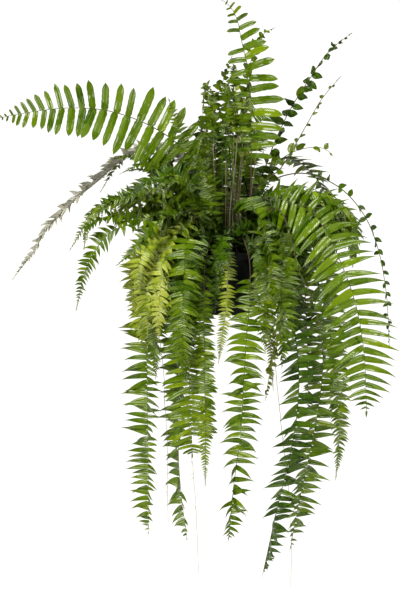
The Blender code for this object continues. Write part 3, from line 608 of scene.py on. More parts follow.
LEAF_FINISHES = (
    LeafFinish(Tone.BRIGHT, rgb(0.018, 0.060, 0.000), rgb(0.104, 0.190, 0.000),
               rgb(0.250, 0.340, 0.002), rgb(0.160, 0.220, 0.008), spots=1.0),
    LeafFinish(Tone.MID, rgb(0.012, 0.050, 0.000), rgb(0.094, 0.176, 0.000),
               rgb(0.270, 0.360, 0.004), rgb(0.150, 0.205, 0.010)),
    # DARK: a deep green, also used as painted shade for fronds in the plant's own shade.
    LeafFinish(Tone.DARK, rgb(0.004, 0.026, 0.000), rgb(0.044, 0.120, 0.000),
               rgb(0.120, 0.190, 0.002), rgb(0.090, 0.130, 0.006), spots=0.6),
    LeafFinish(Tone.YELLOW, rgb(0.055, 0.125, 0.000), rgb(0.400, 0.490, 0.016),
               rgb(0.640, 0.680, 0.120), rgb(0.520, 0.550, 0.120)),
    LeafFinish(Tone.GREY, rgb(0.400, 0.385, 0.290), rgb(0.700, 0.670, 0.560),
               rgb(0.350, 0.380, 0.065), rgb(0.530, 0.510, 0.420), 0.40, 0.05, 0.3),
)


@dataclass
class LeafletMaster:
    """One flat leaflet of unit length and unit width, closed above and below, to be copied."""

    shape: LeafletShape
    channel: float = 0.10  # how far its margins stand above its midrib
    points: np.ndarray = field(default_factory=lambda: np.zeros((0, 3)))
    faces: list[tuple[int, ...]] = field(default_factory=list)
    under: list[bool] = field(default_factory=list)

    def select_row(self, mesh: bpy.types.Mesh, step: int, steps: int) -> None:
        """Selects the points of one cross row, by their place, in edit mode.

        Args:
            mesh: The leaflet's mesh.
            step: Which row.
            steps: How many rows there are after the first.
        """
        bpy.ops.mesh.select_all(action="DESELECT")
        bpy.ops.object.mode_set(mode="OBJECT")
        for vertex in mesh.vertices:
            vertex.select = abs(vertex.co.x - step / steps) < 0.25 / steps
        bpy.ops.object.mode_set(mode="EDIT")

    def build(self) -> None:
        """Shapes a grid into the leaflet, row by row, then adds its lower skin."""
        widths = self.shape.value
        steps = len(widths) - 1
        deselect_all()
        bpy.ops.mesh.primitive_grid_add(x_subdivisions=steps, y_subdivisions=2, size=1.0,
                                        location=(0.5, 0.0, 0.0))
        leaf = bpy.context.object
        bpy.ops.object.transform_apply(location=True, rotation=False, scale=False)
        bpy.ops.object.mode_set(mode="EDIT")
        bpy.ops.mesh.select_mode(type="VERT")
        for step, width in enumerate(widths):
            self.select_row(leaf.data, step, steps)
            bpy.ops.transform.resize(value=(1.0, max(width, 1e-4), 1.0),
                                     center_override=(step / steps, 0.0, 0.0))
        bpy.ops.mesh.select_all(action="SELECT")
        bpy.ops.mesh.remove_doubles(threshold=1e-3)
        self.shift_where(leaf.data, lambda co: abs(co.y) > 1e-3, self.channel)
        bpy.ops.mesh.select_all(action="SELECT")
        bpy.ops.mesh.duplicate()
        bpy.ops.mesh.flip_normals()
        bpy.ops.object.mode_set(mode="OBJECT")
        half = len(leaf.data.vertices) // 2
        for vertex in leaf.data.vertices:
            inner = abs(vertex.co.y) < 1e-3 and vertex.co.x < 1 - 0.5 / steps
            vertex.select = vertex.index >= half and inner
        bpy.ops.object.mode_set(mode="EDIT")
        bpy.ops.transform.translate(value=(0.0, 0.0, -LEAF_THICKNESS))
        bpy.ops.mesh.select_all(action="SELECT")
        bpy.ops.mesh.remove_doubles(threshold=1e-3)
        bpy.ops.mesh.select_all(action="DESELECT")
        bpy.ops.mesh.select_non_manifold()
        bpy.ops.mesh.edge_face_add()
        bpy.ops.mesh.select_all(action="SELECT")
        bpy.ops.mesh.normals_make_consistent(inside=False)
        bpy.ops.object.mode_set(mode="OBJECT")
        self.points = np.array([tuple(vertex.co) for vertex in leaf.data.vertices])
        self.faces = [tuple(face.vertices) for face in leaf.data.polygons]
        self.under = [face.normal.z < 0 for face in leaf.data.polygons]
        bpy.data.objects.remove(leaf, do_unlink=True)
        log.info("%s leaflet: %d faces", self.shape.name.lower(), len(self.faces))

    def shift_where(self, mesh: bpy.types.Mesh, wanted: object, height: float) -> None:
        """Raises the points that a test picks, in edit mode.

        Args:
            mesh: The leaflet's mesh.
            wanted: A test of a point's place.
            height: How far to raise them.
        """
        bpy.ops.object.mode_set(mode="OBJECT")
        for vertex in mesh.vertices:
            vertex.select = wanted(vertex.co)
        bpy.ops.object.mode_set(mode="EDIT")
        bpy.ops.transform.translate(value=(0.0, 0.0, height))


def crown_height(x: float, y: float) -> float:
    """The height in the world of the crown's dome over a place."""
    share = max(0.0, 1 - (x * x + y * y) / CROWN_R**2)
    return CROWN_LOW.z + (CROWN_HIGH.z - CROWN_LOW.z) * math.sqrt(share)


@dataclass
class Path:
    """A smooth cubic curve through a few points, read at equal distances."""

    points: list[Vector]
    fine: int = 24

    def __post_init__(self) -> None:
        """Works out the curve and its length at each fine step."""
        knots = self.points
        sizes = [(b - a).length for a, b in zip(knots, knots[1:])]
        slopes = [(b - a) / size for a, b, size in zip(knots, knots[1:], sizes)]
        tangents = [slopes[0]]
        for before, after, first, second in zip(slopes, slopes[1:], sizes, sizes[1:]):
            tangents.append((before * second + after * first) / (first + second))
        tangents.append(slopes[-1])
        line = []
        for at, size in enumerate(sizes):
            for step in range(self.fine):
                t = step / self.fine
                line.append(knots[at] * (2 * t**3 - 3 * t**2 + 1)
                            + tangents[at] * (size * (t**3 - 2 * t**2 + t))
                            + knots[at + 1] * (3 * t**2 - 2 * t**3)
                            + tangents[at + 1] * (size * (t**3 - t**2)))
        line.append(knots[-1])
        self.line = np.array([tuple(point) for point in line])
        runs = np.linalg.norm(np.diff(self.line, axis=0), axis=1)
        self.reached = np.concatenate([[0.0], np.cumsum(runs)])
        self.length = float(self.reached[-1])

    def at(self, distance: np.ndarray) -> np.ndarray:
        """Positions at distances along the curve."""
        return np.stack([np.interp(distance, self.reached, self.line[:, k])
                         for k in range(3)], axis=1)

    def along(self, distance: np.ndarray) -> np.ndarray:
        """Directions along the curve.

        Args:
            distance: Distances from its start.

        Returns:
            A unit row for each.
        """
        step = self.length / STEPS_ALONG
        ahead = self.at(np.minimum(distance + step, self.length))
        behind = self.at(np.maximum(distance - step, 0.0))
        return unit(ahead - behind)


def rooted(start: Spot, route: tuple[Point, ...]) -> Path:
    """The curve that leads out of the crown and through a route's points.

    Args:
        start: Where it leaves the crown.
        route: The points that it passes, with heights from the rim.

    Returns:
        The curve.
    """
    x, y = start
    foot = Vector((x * FOOT_INSET, y * FOOT_INSET, crown_height(x, y) - RISE_INTO_CROWN))
    return Path([foot] + [Vector((a, b, c + RIM_Z)) for a, b, c in route])


def unit(rows: np.ndarray) -> np.ndarray:
    """Rows scaled to length 1."""
    return rows / np.maximum(np.linalg.norm(rows, axis=-1, keepdims=True), 1e-9)


def paint(made: bpy.types.Object, material: bpy.types.Material) -> None:
    """Gives an object one finish."""
    made.data.materials.clear()
    made.data.materials.append(material)


def stalk(name: str, centres: np.ndarray, radii: np.ndarray, sides: int,
          material: bpy.types.Material) -> bpy.types.Object:
    """A round tapering stalk, made as a bevelled curve and turned into a mesh.

    Args:
        name: The object's name.
        centres: Its centre line.
        radii: Its radius at each point of it.
        sides: How many sides it has.
        material: Its finish.

    Returns:
        The mesh object, with a tint that runs from 0 at its foot to 1 at its tip.
    """
    curve = bpy.data.curves.new(name, "CURVE")
    curve.dimensions = "3D"
    curve.bevel_depth = 1.0
    curve.bevel_resolution = sides // 2 - 2
    curve.use_fill_caps = True
    spline = curve.splines.new("POLY")
    spline.points.add(len(centres) - 1)
    for point, centre, radius in zip(spline.points, centres, radii):
        point.co = (*centre, 1.0)
        point.radius = radius
    made = bpy.data.objects.new(name, curve)
    bpy.context.scene.collection.objects.link(made)
    activate(made)
    bpy.ops.object.convert(target="MESH")
    made = bpy.context.object
    bpy.ops.object.mode_set(mode="EDIT")
    bpy.ops.mesh.select_all(action="SELECT")
    bpy.ops.mesh.remove_doubles(threshold=1e-5)
    bpy.ops.mesh.normals_make_consistent(inside=False)
    bpy.ops.object.mode_set(mode="OBJECT")
    paint(made, material)
    made.data.shade_smooth()
    count = len(made.data.vertices)
    places = np.empty(count * 3, np.float32)
    made.data.vertices.foreach_get("co", places)
    near = np.linalg.norm(places.reshape(-1, 1, 3) - centres[None], axis=2).argmin(axis=1)
    tint = made.data.attributes.new("tint", "FLOAT", "POINT")
    tint.data.foreach_set("value", (near / max(1, len(centres) - 1)).astype(np.float32))
    return made


@dataclass
class Frond:
    """A frond: a stalk and its leaflets, each a bent and turned copy of a master."""

    plan: Plan
    number: int
    masters: dict[LeafletShape, LeafletMaster]
    leaf: bpy.types.Material
    stalk_finish: bpy.types.Material
    stalk_foot: float = 0.0019
    stalk_tip: float = 0.0006

    def envelope(self, share: np.ndarray) -> np.ndarray:
        """How long the leaflets are along the blade.

        Args:
            share: Places on the blade, from 0 at its foot to 1 at its tip.

        Returns:
            Lengths, as shares of the longest.
        """
        habit = self.plan.habit.value
        rise = np.minimum(1.0, FOOT_SIZE + FOOT_RISE * share)
        fall = 1 - np.exp(-(((1.0 - share) / habit.taper) ** TIP_POWER))
        return rise * fall * (1 - habit.fade * share)

    def places(self, blade: float, side: float, rng: np.random.Generator) -> np.ndarray:
        """Where leaflets stand on one side of the blade, closer together towards the tip.

        Args:
            blade: The blade's length.
            side: 1 or -1, which stand half a step apart.
            rng: The frond's own source of disorder.

        Returns:
            The shares of the blade's length, in rising order.
        """
        habit = self.plan.habit.value
        widest = habit.slim * self.plan.leaflet * habit.gap / blade
        found = []
        share = 0.0 if side > 0 else 0.5 * widest
        while share < 0.99:
            found.append(share)
            size = float(self.envelope(np.array([share]))[0])
            spacing = TIP_SPACING + SIZE_SPACING * size
            share += widest * spacing * rng.uniform(0.90, 1.10)
        rows = np.array(found)
        return rows[rng.random(len(rows)) >= habit.missing]

    def frames(self, tangent: np.ndarray, share: np.ndarray, rng: np.random.Generator
               ) -> tuple[np.ndarray, np.ndarray, np.ndarray]:
        """The blade's own directions at each leaflet, rolled a little to and fro.

        Args:
            tangent: The rachis's direction there.
            share: The leaflet's place on the blade.
            rng: The frond's own source of disorder.

        Returns:
            The way to the side, the way above, and the extra lift in degrees.
        """
        plan, habit = self.plan, self.plan.habit.value
        facing = unit(np.array(plan.facing))[None].repeat(len(share), 0)
        aside = unit(np.cross(tangent, facing))
        above = np.cross(aside, tangent)
        begin, roll, lift = plan.folded
        ease = np.clip((share - begin) / FOLD_EASE, 0, 1)
        wave = np.sin(2 * math.pi * (rng.uniform(0.7, 1.5) * share + rng.uniform(0, 1)))
        angle = np.radians(habit.wander * wave + roll * ease)[:, None]
        turned = aside * np.cos(angle) + above * np.sin(angle)
        return turned, np.cross(turned, tangent), lift * ease

    def leaflets(self, path: Path) -> tuple[np.ndarray, list, list, np.ndarray, np.ndarray]:
        """Bends a copy of the master for each leaflet.

        Args:
            path: The frond's centre line.

        Returns:
            Points, faces, whether each face is below, its map rows and each point's tint.
        """
        plan, habit = self.plan, self.plan.habit.value
        rng = np.random.default_rng(1000 + self.number)
        bare = plan.bare * path.length
        blade = path.length - bare
        right, left = (self.places(blade, side, rng) for side in (1, -1))
        share = np.concatenate([right, left, [0.995]])
        side = np.concatenate([np.ones(len(right)), -np.ones(len(left)), [1.0]])
        count = len(share)
        where = bare + share * blade
        base, tangent = path.at(where), path.along(where)
        aside, above, extra = self.frames(tangent, share, rng)
        size = np.maximum(self.envelope(share), LEAST_SIZE)
        size *= np.where(side > 0, plan.sides[0], plan.sides[1])
        length = plan.leaflet * size * rng.normal(1.0, LENGTH_SPREAD, count)
        width = plan.leaflet * habit.slim * size**WIDTH_POWER
        width *= rng.normal(1.0, WIDTH_SPREAD, count)
        spread = habit.foot_angle + (habit.tip_angle - habit.foot_angle) * share**2
        spread = np.radians(spread + rng.normal(0, habit.scatter, count))
        lift = np.radians(habit.lift + extra + rng.normal(0, habit.scatter, count))[:, None]
        spread[-1] = END_SPREAD
        length[-1], width[-1] = plan.leaflet * END_LENGTH, plan.leaflet * END_WIDTH
        spread = spread[:, None]
        outward = aside * (side[:, None] * np.cos(lift)) + above * np.sin(lift)
        start = unit(tangent * np.cos(spread) + outward * np.sin(spread))
        forward = unit(tangent - start * np.sum(tangent * start, axis=1, keepdims=True))
        return self.bend(base, start, forward, side, length, width, share, rng)

    def bend(self, base: np.ndarray, start: np.ndarray, forward: np.ndarray,
             side: np.ndarray, length: np.ndarray, width: np.ndarray, share: np.ndarray,
             rng: np.random.Generator) -> tuple[np.ndarray, list, list, np.ndarray, np.ndarray]:
        """Runs each leaflet's centre line out under gravity and lays the master on it.

        Args:
            base: Where each leaflet leaves the rachis.
            start: Its first direction.
            forward: The direction across it, towards the frond's tip.
            side: 1 on the right of the frond and -1 on its left.
            length: Its length.
            width: Its width.
            share: Its place on the blade.
            rng: The frond's own source of disorder.

        Returns:
            Points, faces, whether each face is below, its map rows and each point's tint.
        """
        habit = self.plan.habit.value
        master = self.masters[habit.shape]
        steps = len(habit.shape.value) - 1
        count = len(share)
        down = np.array([0.0, 0.0, -1.0])
        turn = np.radians(rng.normal(0, habit.twist, count))
        droop = habit.droop * rng.uniform(0.4, 1.6, count)
        ripple, phase = rng.normal(0, RIPPLE, count), rng.uniform(0, 2 * math.pi, count)
        centres, across, normal = [base.copy()], [], []
        for step in range(steps + 1):
            t = step / steps
            pull = droop[:, None] * t**DROOP_POWER * down
            rock = (ripple * t * np.sin(phase + RIPPLE_TURN * t))[:, None]
            flat = unit(start + forward * habit.sickle * t**2 + pull)
            width_line = unit(forward - flat * np.sum(forward * flat, axis=1, keepdims=True))
            rise = np.cross(flat, width_line) * side[:, None]
            ahead = unit(flat + rise * rock)
            if step < steps:
                centres.append(centres[-1] + ahead * (length / steps)[:, None])
            angle = (turn * t)[:, None]
            across.append(width_line * np.cos(angle) + rise * np.sin(angle))
            normal.append(rise * np.cos(angle) - width_line * np.sin(angle))
        centres, across, normal = (np.stack(rows) for rows in (centres, across, normal))
        station = np.rint(master.points[:, 0] * steps).astype(int)
        wide = master.points[:, 1][:, None, None] * width[None, :, None]
        high = master.points[:, 2][:, None, None] * width[None, :, None]
        points = centres[station] + across[station] * wide + normal[station] * high
        points = points.transpose(1, 0, 2).reshape(-1, 3)
        per = len(master.points)
        # Painted shade: leaflets near the shaded spot by the crown get a lower tint, so a darker
        # green.
        near = np.exp(-np.sum((base - SHADED) ** 2, axis=1) / SHADED_REACH**2)
        tints = (TINT_MIDDLE + self.plan.fresh * share**2 + rng.normal(0, TINT_SPREAD, count)
                 - SHADE_DEPTH * near)
        tints = np.clip(tints, TINT_LOW, TINT_HIGH)
        faces, under = [], []
        for number in range(count):
            shift = number * per
            for face, below in zip(master.faces, master.under):
                ring = tuple(shift + corner for corner in face)
                faces.append(ring if side[number] > 0 else ring[::-1])
                under.append(below)
        edge = np.sign(np.where(np.abs(master.points[:, 1]) < 1e-3, 0, master.points[:, 1]))
        rows = np.stack([master.points[:, 0], 0.5 + 0.5 * edge], axis=1)
        return points, faces, under, np.tile(rows, (count, 1)), np.repeat(tints, per)

    def make(self) -> bpy.types.Object:
        """Makes the frond as one object.

        Returns:
            The frond, with its stalk's finish first and its leaf finish second.
        """
        path = rooted(self.plan.start, self.plan.route)
        points, faces, under, rows, tints = self.leaflets(path)
        mesh = bpy.data.meshes.new(self.plan.node + "_leaf")
        mesh.from_pydata(points.tolist(), [], faces)
        layer = mesh.uv_layers.new(name="leaflet")
        corners = np.empty(len(mesh.loops), np.int32)
        mesh.loops.foreach_get("vertex_index", corners)
        layer.data.foreach_set("uv", rows[corners].astype(np.float32).ravel())
        mesh.attributes.new("tint", "FLOAT", "POINT").data.foreach_set(
            "value", tints.astype(np.float32))
        mesh.attributes.new("under", "FLOAT", "FACE").data.foreach_set(
            "value", np.array(under, np.float32))
        mesh.materials.append(self.leaf)
        mesh.shade_smooth()
        mesh.set_sharp_from_angle(angle=math.radians(SHARP_ANGLE))
        blade = bpy.data.objects.new(self.plan.node + "_leaf", mesh)
        bpy.context.scene.collection.objects.link(blade)
        distances = np.linspace(0.0, path.length, max(12, int(path.length / STALK_PITCH)))
        share = distances / path.length
        radii = self.stalk_foot + (self.stalk_tip - self.stalk_foot) * share**0.8
        stem = stalk(self.plan.node + "_visual", path.at(distances), radii, 6,
                     self.stalk_finish)
        return join([stem, blade], self.plan.node + "_visual")

    def build(self) -> None:
        """Makes the frond and ties it to its node."""
        settle(self.make(), self.plan.tone.value, self.plan.node)


@dataclass
class InnerFoliage:
    """The short fronds that crowd round the crown, joined into one piece for each cluster."""

    name: str
    tone: Tone
    seed: int
    count: int
    turns: Spot  # degrees round the crown, from +X
    heights: Spot
    reaches: Spot
    leaflet: float = 0.032
    falls: Spot = (0.0, 0.0)
    habit: Habits = Habits.LOOSE
    bare: float = 0.10

    def plans(self) -> list[Plan]:
        """Draws a plan for each short frond."""
        rng = np.random.default_rng(self.seed)
        made = []
        for number in range(self.count):
            share = (number + rng.uniform(0.1, 0.9)) / self.count
            turn = math.radians(self.turns[0] + (self.turns[1] - self.turns[0]) * share)
            high, far = rng.uniform(*self.heights), rng.uniform(*self.reaches)
            way = Vector((math.cos(turn), math.sin(turn), 0.0))
            foot = way * rng.uniform(0.02, 0.05)
            bend = Vector((-way.y, way.x, 0.0)) * rng.normal(0, 0.02)
            route = []
            drop = rng.uniform(*self.falls)
            steps = [(0.35, 0.60 * high), (0.78, high), (1.0, high * rng.uniform(0.8, 1.0))]
            if drop:
                steps[2:] = [(0.97, high - 0.3 * drop), (1.0, high - drop)]
            for out, up in steps:
                spot = foot + way * far * out + bend * out**2
                route.append((spot.x, spot.y, up))
            facing = (way.x * 0.5, -0.75 + 0.4 * way.y, 0.1 if drop else 0.8)
            made.append(Plan(f"{self.name}_{number}", self.habit, self.tone,
                             self.leaflet * rng.uniform(0.8, 1.2), facing, (foot.x, foot.y),
                             tuple(route), self.bare, (1.0, 1.0), rng.uniform(-0.2, 0.5)))
        return made

    def build(self, masters: dict[LeafletShape, LeafletMaster], leaf: bpy.types.Material,
              stalk_finish: bpy.types.Material) -> None:
        """Makes the cluster out of these leaflets and finishes."""
        made = [Frond(plan, self.seed * 50 + number, masters, leaf, stalk_finish, 0.0012,
                      0.0004).make() for number, plan in enumerate(self.plans())]
        settle(join(made, self.name), self.tone.value)


INNER = (
    InnerFoliage("inner_foliage_left", Tone.MID, 5, 17, (120, 233), (0.05, 0.22), (0.09, 0.25)),
    InnerFoliage("inner_foliage_left_bright", Tone.BRIGHT, 6, 10, (130, 235), (0.06, 0.24),
                 (0.08, 0.22), 0.032),
    InnerFoliage("inner_foliage_left_outer", Tone.MID, 18, 7, (168, 205), (0.07, 0.15),
                 (0.20, 0.30), 0.036, (0.03, 0.09)),
    InnerFoliage("inner_foliage_front", Tone.DARK, 7, 10, (195, 345), (0.03, 0.08),
                 (0.05, 0.09), 0.036),
    InnerFoliage("inner_foliage_back", Tone.DARK, 8, 9, (5, 175), (0.04, 0.10),
                 (0.05, 0.10), 0.038),
    InnerFoliage("inner_foliage_right", Tone.DARK, 9, 9, (-50, 60), (0.07, 0.14),
                 (0.07, 0.13), 0.034),
    InnerFoliage("inner_foliage_right_shell", Tone.MID, 19, 8, (-26, 14), (0.060, 0.105),
                 (0.18, 0.27), 0.052, (0.05, 0.16), Habits.BROAD, 0.25),
    InnerFoliage("inner_foliage_top", Tone.MID, 10, 7, (110, 230), (0.16, 0.30),
                 (0.03, 0.08), 0.024),
    InnerFoliage("inner_foliage_upper", Tone.BRIGHT, 11, 5, (190, 330), (0.32, 0.43),
                 (0.01, 0.05), 0.026, bare=0.62),
    InnerFoliage("inner_foliage_hub", Tone.DARK, 20, 4, (225, 310), (0.27, 0.34),
                 (0.012, 0.03), 0.022, habit=Habits.CURLED, bare=0.66),
    InnerFoliage("inner_foliage_stems", Tone.YELLOW, 12, 5, (-80, 90), (0.24, 0.36),
                 (0.01, 0.05), 0.022, habit=Habits.SPARSE, bare=0.7),
    InnerFoliage("inner_foliage_collar", Tone.DARK, 13, 15, (185, 360), (0.02, 0.05),
                 (0.10, 0.13), 0.036, (0.05, 0.13)),
    InnerFoliage("inner_foliage_collar_back", Tone.MID, 14, 12, (0, 180), (0.03, 0.06),
                 (0.10, 0.14), 0.040, (0.05, 0.16)),
    InnerFoliage("inner_foliage_trailing", Tone.MID, 15, 7, (200, 232), (0.03, 0.06),
                 (0.115, 0.138), 0.044, (0.16, 0.36), Habits.DENSE),
    InnerFoliage("inner_foliage_trailing_bright", Tone.YELLOW, 16, 8, (180, 212),
                 (0.00, 0.03), (0.14, 0.18), 0.046, (0.10, 0.24), Habits.DENSE, 0.35),
    InnerFoliage("inner_foliage_trailing_right", Tone.BRIGHT, 17, 7, (-46, -2), (0.04, 0.08),
                 (0.105, 0.135), 0.046, (0.12, 0.30), Habits.DENSE),
)


def lathe(name: str, profile: list[Spot], sides: int) -> bpy.types.Object:
    """A turned shape: a ring of points extruded and resized through a profile, then capped.

    Args:
        name: The object's name.
        profile: (radius, height) pairs, none on the axis.
        sides: How many points a ring has.

    Returns:
        The closed object.
    """
    deselect_all()
    radius, height = profile[0]
    bpy.ops.mesh.primitive_circle_add(vertices=sides, radius=radius, location=(0, 0, height))
    made = bpy.context.object
    bpy.ops.object.transform_apply(location=True, rotation=False, scale=False)
    made.name = name
    bpy.ops.object.mode_set(mode="EDIT")
    bpy.ops.mesh.select_all(action="SELECT")
    bpy.ops.mesh.edge_face_add()
    bpy.ops.mesh.duplicate()
    bpy.ops.mesh.delete(type="ONLY_FACE")
    bpy.ops.object.mode_set(mode="OBJECT")
    for vertex in made.data.vertices:
        vertex.select = vertex.index >= sides
    bpy.ops.object.mode_set(mode="EDIT")
    for (before, low), (after, high) in zip(profile, profile[1:]):
        bpy.ops.mesh.extrude_edges_move(TRANSFORM_OT_translate={"value": (0, 0, high - low)})
        share = after / before
        bpy.ops.transform.resize(value=(share, share, 1.0), center_override=(0, 0, high))
    bpy.ops.mesh.edge_face_add()
    bpy.ops.mesh.select_all(action="SELECT")
    bpy.ops.mesh.remove_doubles(threshold=1e-6)
    bpy.ops.mesh.normals_make_consistent(inside=False)
    bpy.ops.object.mode_set(mode="OBJECT")
    return made


def soften(made: bpy.types.Object, angle: float, bevel: float = 0.0) -> None:
    """Bevels an object's sharp edges and shades it smooth below an angle.

    Args:
        made: The object.
        angle: Degrees between faces above which an edge stays sharp.
        bevel: The bevel's width, or 0 for none.
    """
    activate(made)
    if bevel:
        edge = made.modifiers.new("soft edges", "BEVEL")
        edge.width = bevel
        edge.segments = 2
        edge.limit_method = "ANGLE"
        edge.angle_limit = math.radians(angle)
        bpy.ops.object.modifier_apply(modifier=edge.name)
    bpy.ops.object.shade_smooth_by_angle(angle=math.radians(angle))


def join(pieces: list[bpy.types.Object], name: str) -> bpy.types.Object:
    """Joins objects into the first of them.

    Args:
        pieces: The objects.
        name: The name of the one that is left.

    Returns:
        The joined object.
    """
    activate(pieces[0])
    for piece in pieces[1:]:
        piece.select_set(True)
    if len(pieces) > 1:
        bpy.ops.object.join()
    pieces[0].name = name
    return pieces[0]


def settle(piece: bpy.types.Object, slot: str, *nodes: str) -> None:
    """Ties a finished piece to the body and hides the nodes that it stands for.

    Args:
        piece: The piece.
        slot: Not used.
        nodes: The nodes that it replaces.
    """
    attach(piece, "root")
    if nodes:
        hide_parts(*nodes)
    log.info("%s: %d faces", piece.name, len(piece.data.polygons))


def stamp(name: str, master: bpy.types.Object, places: list[Matrix],
          material: bpy.types.Material) -> bpy.types.Object:
    """Copies of a small master in one mesh, the master then removed.

    Args:
        name: The object's name.
        master: What is copied.
        places: A matrix for each copy.
        material: The finish.

    Returns:
        The object with all the copies.
    """
    points = np.array([(*vertex.co, 1.0) for vertex in master.data.vertices])
    rings = [tuple(face.vertices) for face in master.data.polygons]
    moved = [points @ np.array(place).T for place in places]
    faces = [tuple(number * len(points) + corner for corner in ring)
             for number in range(len(places)) for ring in rings]
    mesh = bpy.data.meshes.new(name)
    mesh.from_pydata(np.concatenate(moved)[:, :3].tolist(), [], faces)
    mesh.materials.append(material)
    mesh.shade_smooth()
    made = bpy.data.objects.new(name, mesh)
    bpy.context.scene.collection.objects.link(made)
    bpy.data.objects.remove(master, do_unlink=True)
    return made


def thorn(corners: int) -> bpy.types.Object:
    """Makes a cone of unit width and height that stands on the origin.

    Args:
        corners: How many sides it has.

    Returns:
        The cone, to be copied by stamp.
    """
    deselect_all()
    bpy.ops.mesh.primitive_cone_add(vertices=corners, radius1=0.5, radius2=0.0, depth=1.0,
                                    location=(0, 0, 0.5))
    bpy.ops.object.transform_apply(location=True, rotation=False, scale=False)
    return bpy.context.object


def stand(spot: Vector, way: Vector, sizes: Point) -> Matrix:
    """The matrix that stands a small master on a spot.

    Args:
        spot: Where its foot goes.
        way: The direction that its tip points in.
        sizes: Its two widths and its height.

    Returns:
        The matrix.
    """
    turn = way.to_track_quat("Z", "Y").to_matrix().to_4x4()
    return Matrix.Translation(spot) @ turn @ Matrix.Diagonal((*sizes, 1.0))


@dataclass
class NurseryPot:
    """The thin moulded pot: foot ring, stepped wall, rolled lip and drainage holes."""

    finish: bpy.types.Material
    sides: int = 96
    base_r: float = 0.065
    slope: float = 0.19
    wall: float = 0.0019
    lip: float = 0.014
    floor: float = 0.0055
    hole_r: float = 0.005
    hole_ring: float = 0.040
    holes: int = 6

    def profile(self) -> list[Spot]:
        """The section, from the middle of the underside out, up, over the lip and back in."""
        base, top = POT_LOW.z, POT_HIGH.z
        outer = [(0.004, base + 0.003), (0.046, base + 0.003), (0.049, base + 0.0028),
                 (0.0515, base + 0.0006), (0.0535, base), (0.0625, base),
                 (0.0645, base + 0.0006), (self.base_r, base + 0.002)]
        for height, step in ((0.030, 0.0), (0.032, 0.0006), (0.118, 0.0006), (0.120, 0.0),
                             (POT_HEIGHT - self.lip - 0.001, 0.0)):
            outer.append((self.base_r + self.slope * height - 0.0006 + step, base + height))
        rim = [(LIP_R - 0.0012, top - self.lip), (LIP_R - 0.0003, top - self.lip + 0.0008),
               (LIP_R, top - self.lip + 0.0020), (LIP_R, top - 0.0024),
               (LIP_R - 0.0005, top - 0.0008), (LIP_R - 0.0014, top),
               (LIP_R - 0.0024, top - 0.0006)]
        inside = self.base_r + self.slope * POT_HEIGHT - self.wall
        inner = [(inside - 0.0004, top - 0.0040), (inside - 0.0006, top - 0.0060),
                 (self.base_r + self.slope * 0.01 - self.wall - 0.0004, base + 0.010),
                 (self.base_r - self.wall - 0.003, base + self.floor), (0.004, base + self.floor)]
        return outer + rim + inner

    def build(self) -> None:
        """Turns the pot and cuts its holes."""
        pot = lathe("nursery_pot_visual", self.profile(), self.sides)
        deselect_all()
        cutters = []
        for number in range(self.holes):
            turn = 2 * math.pi * (number + 0.5) / self.holes
            bpy.ops.mesh.primitive_cylinder_add(
                vertices=20, radius=self.hole_r, depth=0.03,
                location=(self.hole_ring * math.cos(turn), self.hole_ring * math.sin(turn),
                          POT_LOW.z))
            cutters.append(bpy.context.object)
        cutter = join(cutters, "hole_cutter")
        activate(pot)
        cut = pot.modifiers.new("holes", "BOOLEAN")
        cut.object = cutter
        bpy.ops.object.modifier_apply(modifier=cut.name)
        bpy.data.objects.remove(cutter, do_unlink=True)
        soften(pot, 40)
        paint(pot, self.finish)
        settle(pot, "pot_plastic", "nursery_pot")


@dataclass
class PottingMix:
    """The mix that fills the pot, with chips of bark on top."""

    finish: bpy.types.Material
    bark: bpy.types.Material
    rings: int = 16
    chips: int = 320

    def build(self) -> None:
        """Makes the lumpy filling and lays the chips on it."""
        low, top = MIX_LOW.z, MIX_HIGH.z
        edge = MIX_HIGH.x - 0.0008
        profile = [(0.004, low), (edge - 0.026, low), (edge, top - 0.003)]
        profile += [(edge - 0.002 - (edge - 0.006) * step / self.rings, top - 0.002)
                    for step in range(self.rings)]
        mix = lathe("potting_mix_visual", profile, 80)
        for vertex in mix.data.vertices:
            if vertex.co.z > top - 0.0025:
                lump = noise.noise(vertex.co * 90.0) + 0.5 * noise.noise(vertex.co * 240.0)
                vertex.co.z += 0.0016 * lump - 0.0002
        soften(mix, 60)
        paint(mix, self.finish)
        deselect_all()
        bpy.ops.mesh.primitive_ico_sphere_add(subdivisions=1, radius=1.0)
        rng = np.random.default_rng(11)
        places = []
        for _ in range(self.chips):
            turn, reach = rng.uniform(0, 2 * math.pi), edge * math.sqrt(rng.uniform(0.05, 0.93))
            size = rng.uniform(0.0012, 0.0032)
            spot = Matrix.Translation((reach * math.cos(turn), reach * math.sin(turn),
                                       top - 0.0016 + 0.2 * size))
            lean = Matrix.Rotation(rng.uniform(0, math.pi), 4, "Z") @ Matrix.Rotation(
                rng.uniform(-0.5, 0.5), 4, "X")
            places.append(spot @ lean @ Matrix.Diagonal(
                (size * rng.uniform(1.0, 2.4), size, size * rng.uniform(0.3, 0.6), 1.0)))
        chips = stamp("bark_chips", bpy.context.object, places, self.bark)
        settle(join([mix, chips], "potting_mix_visual"), "potting_mix", "potting_mix")


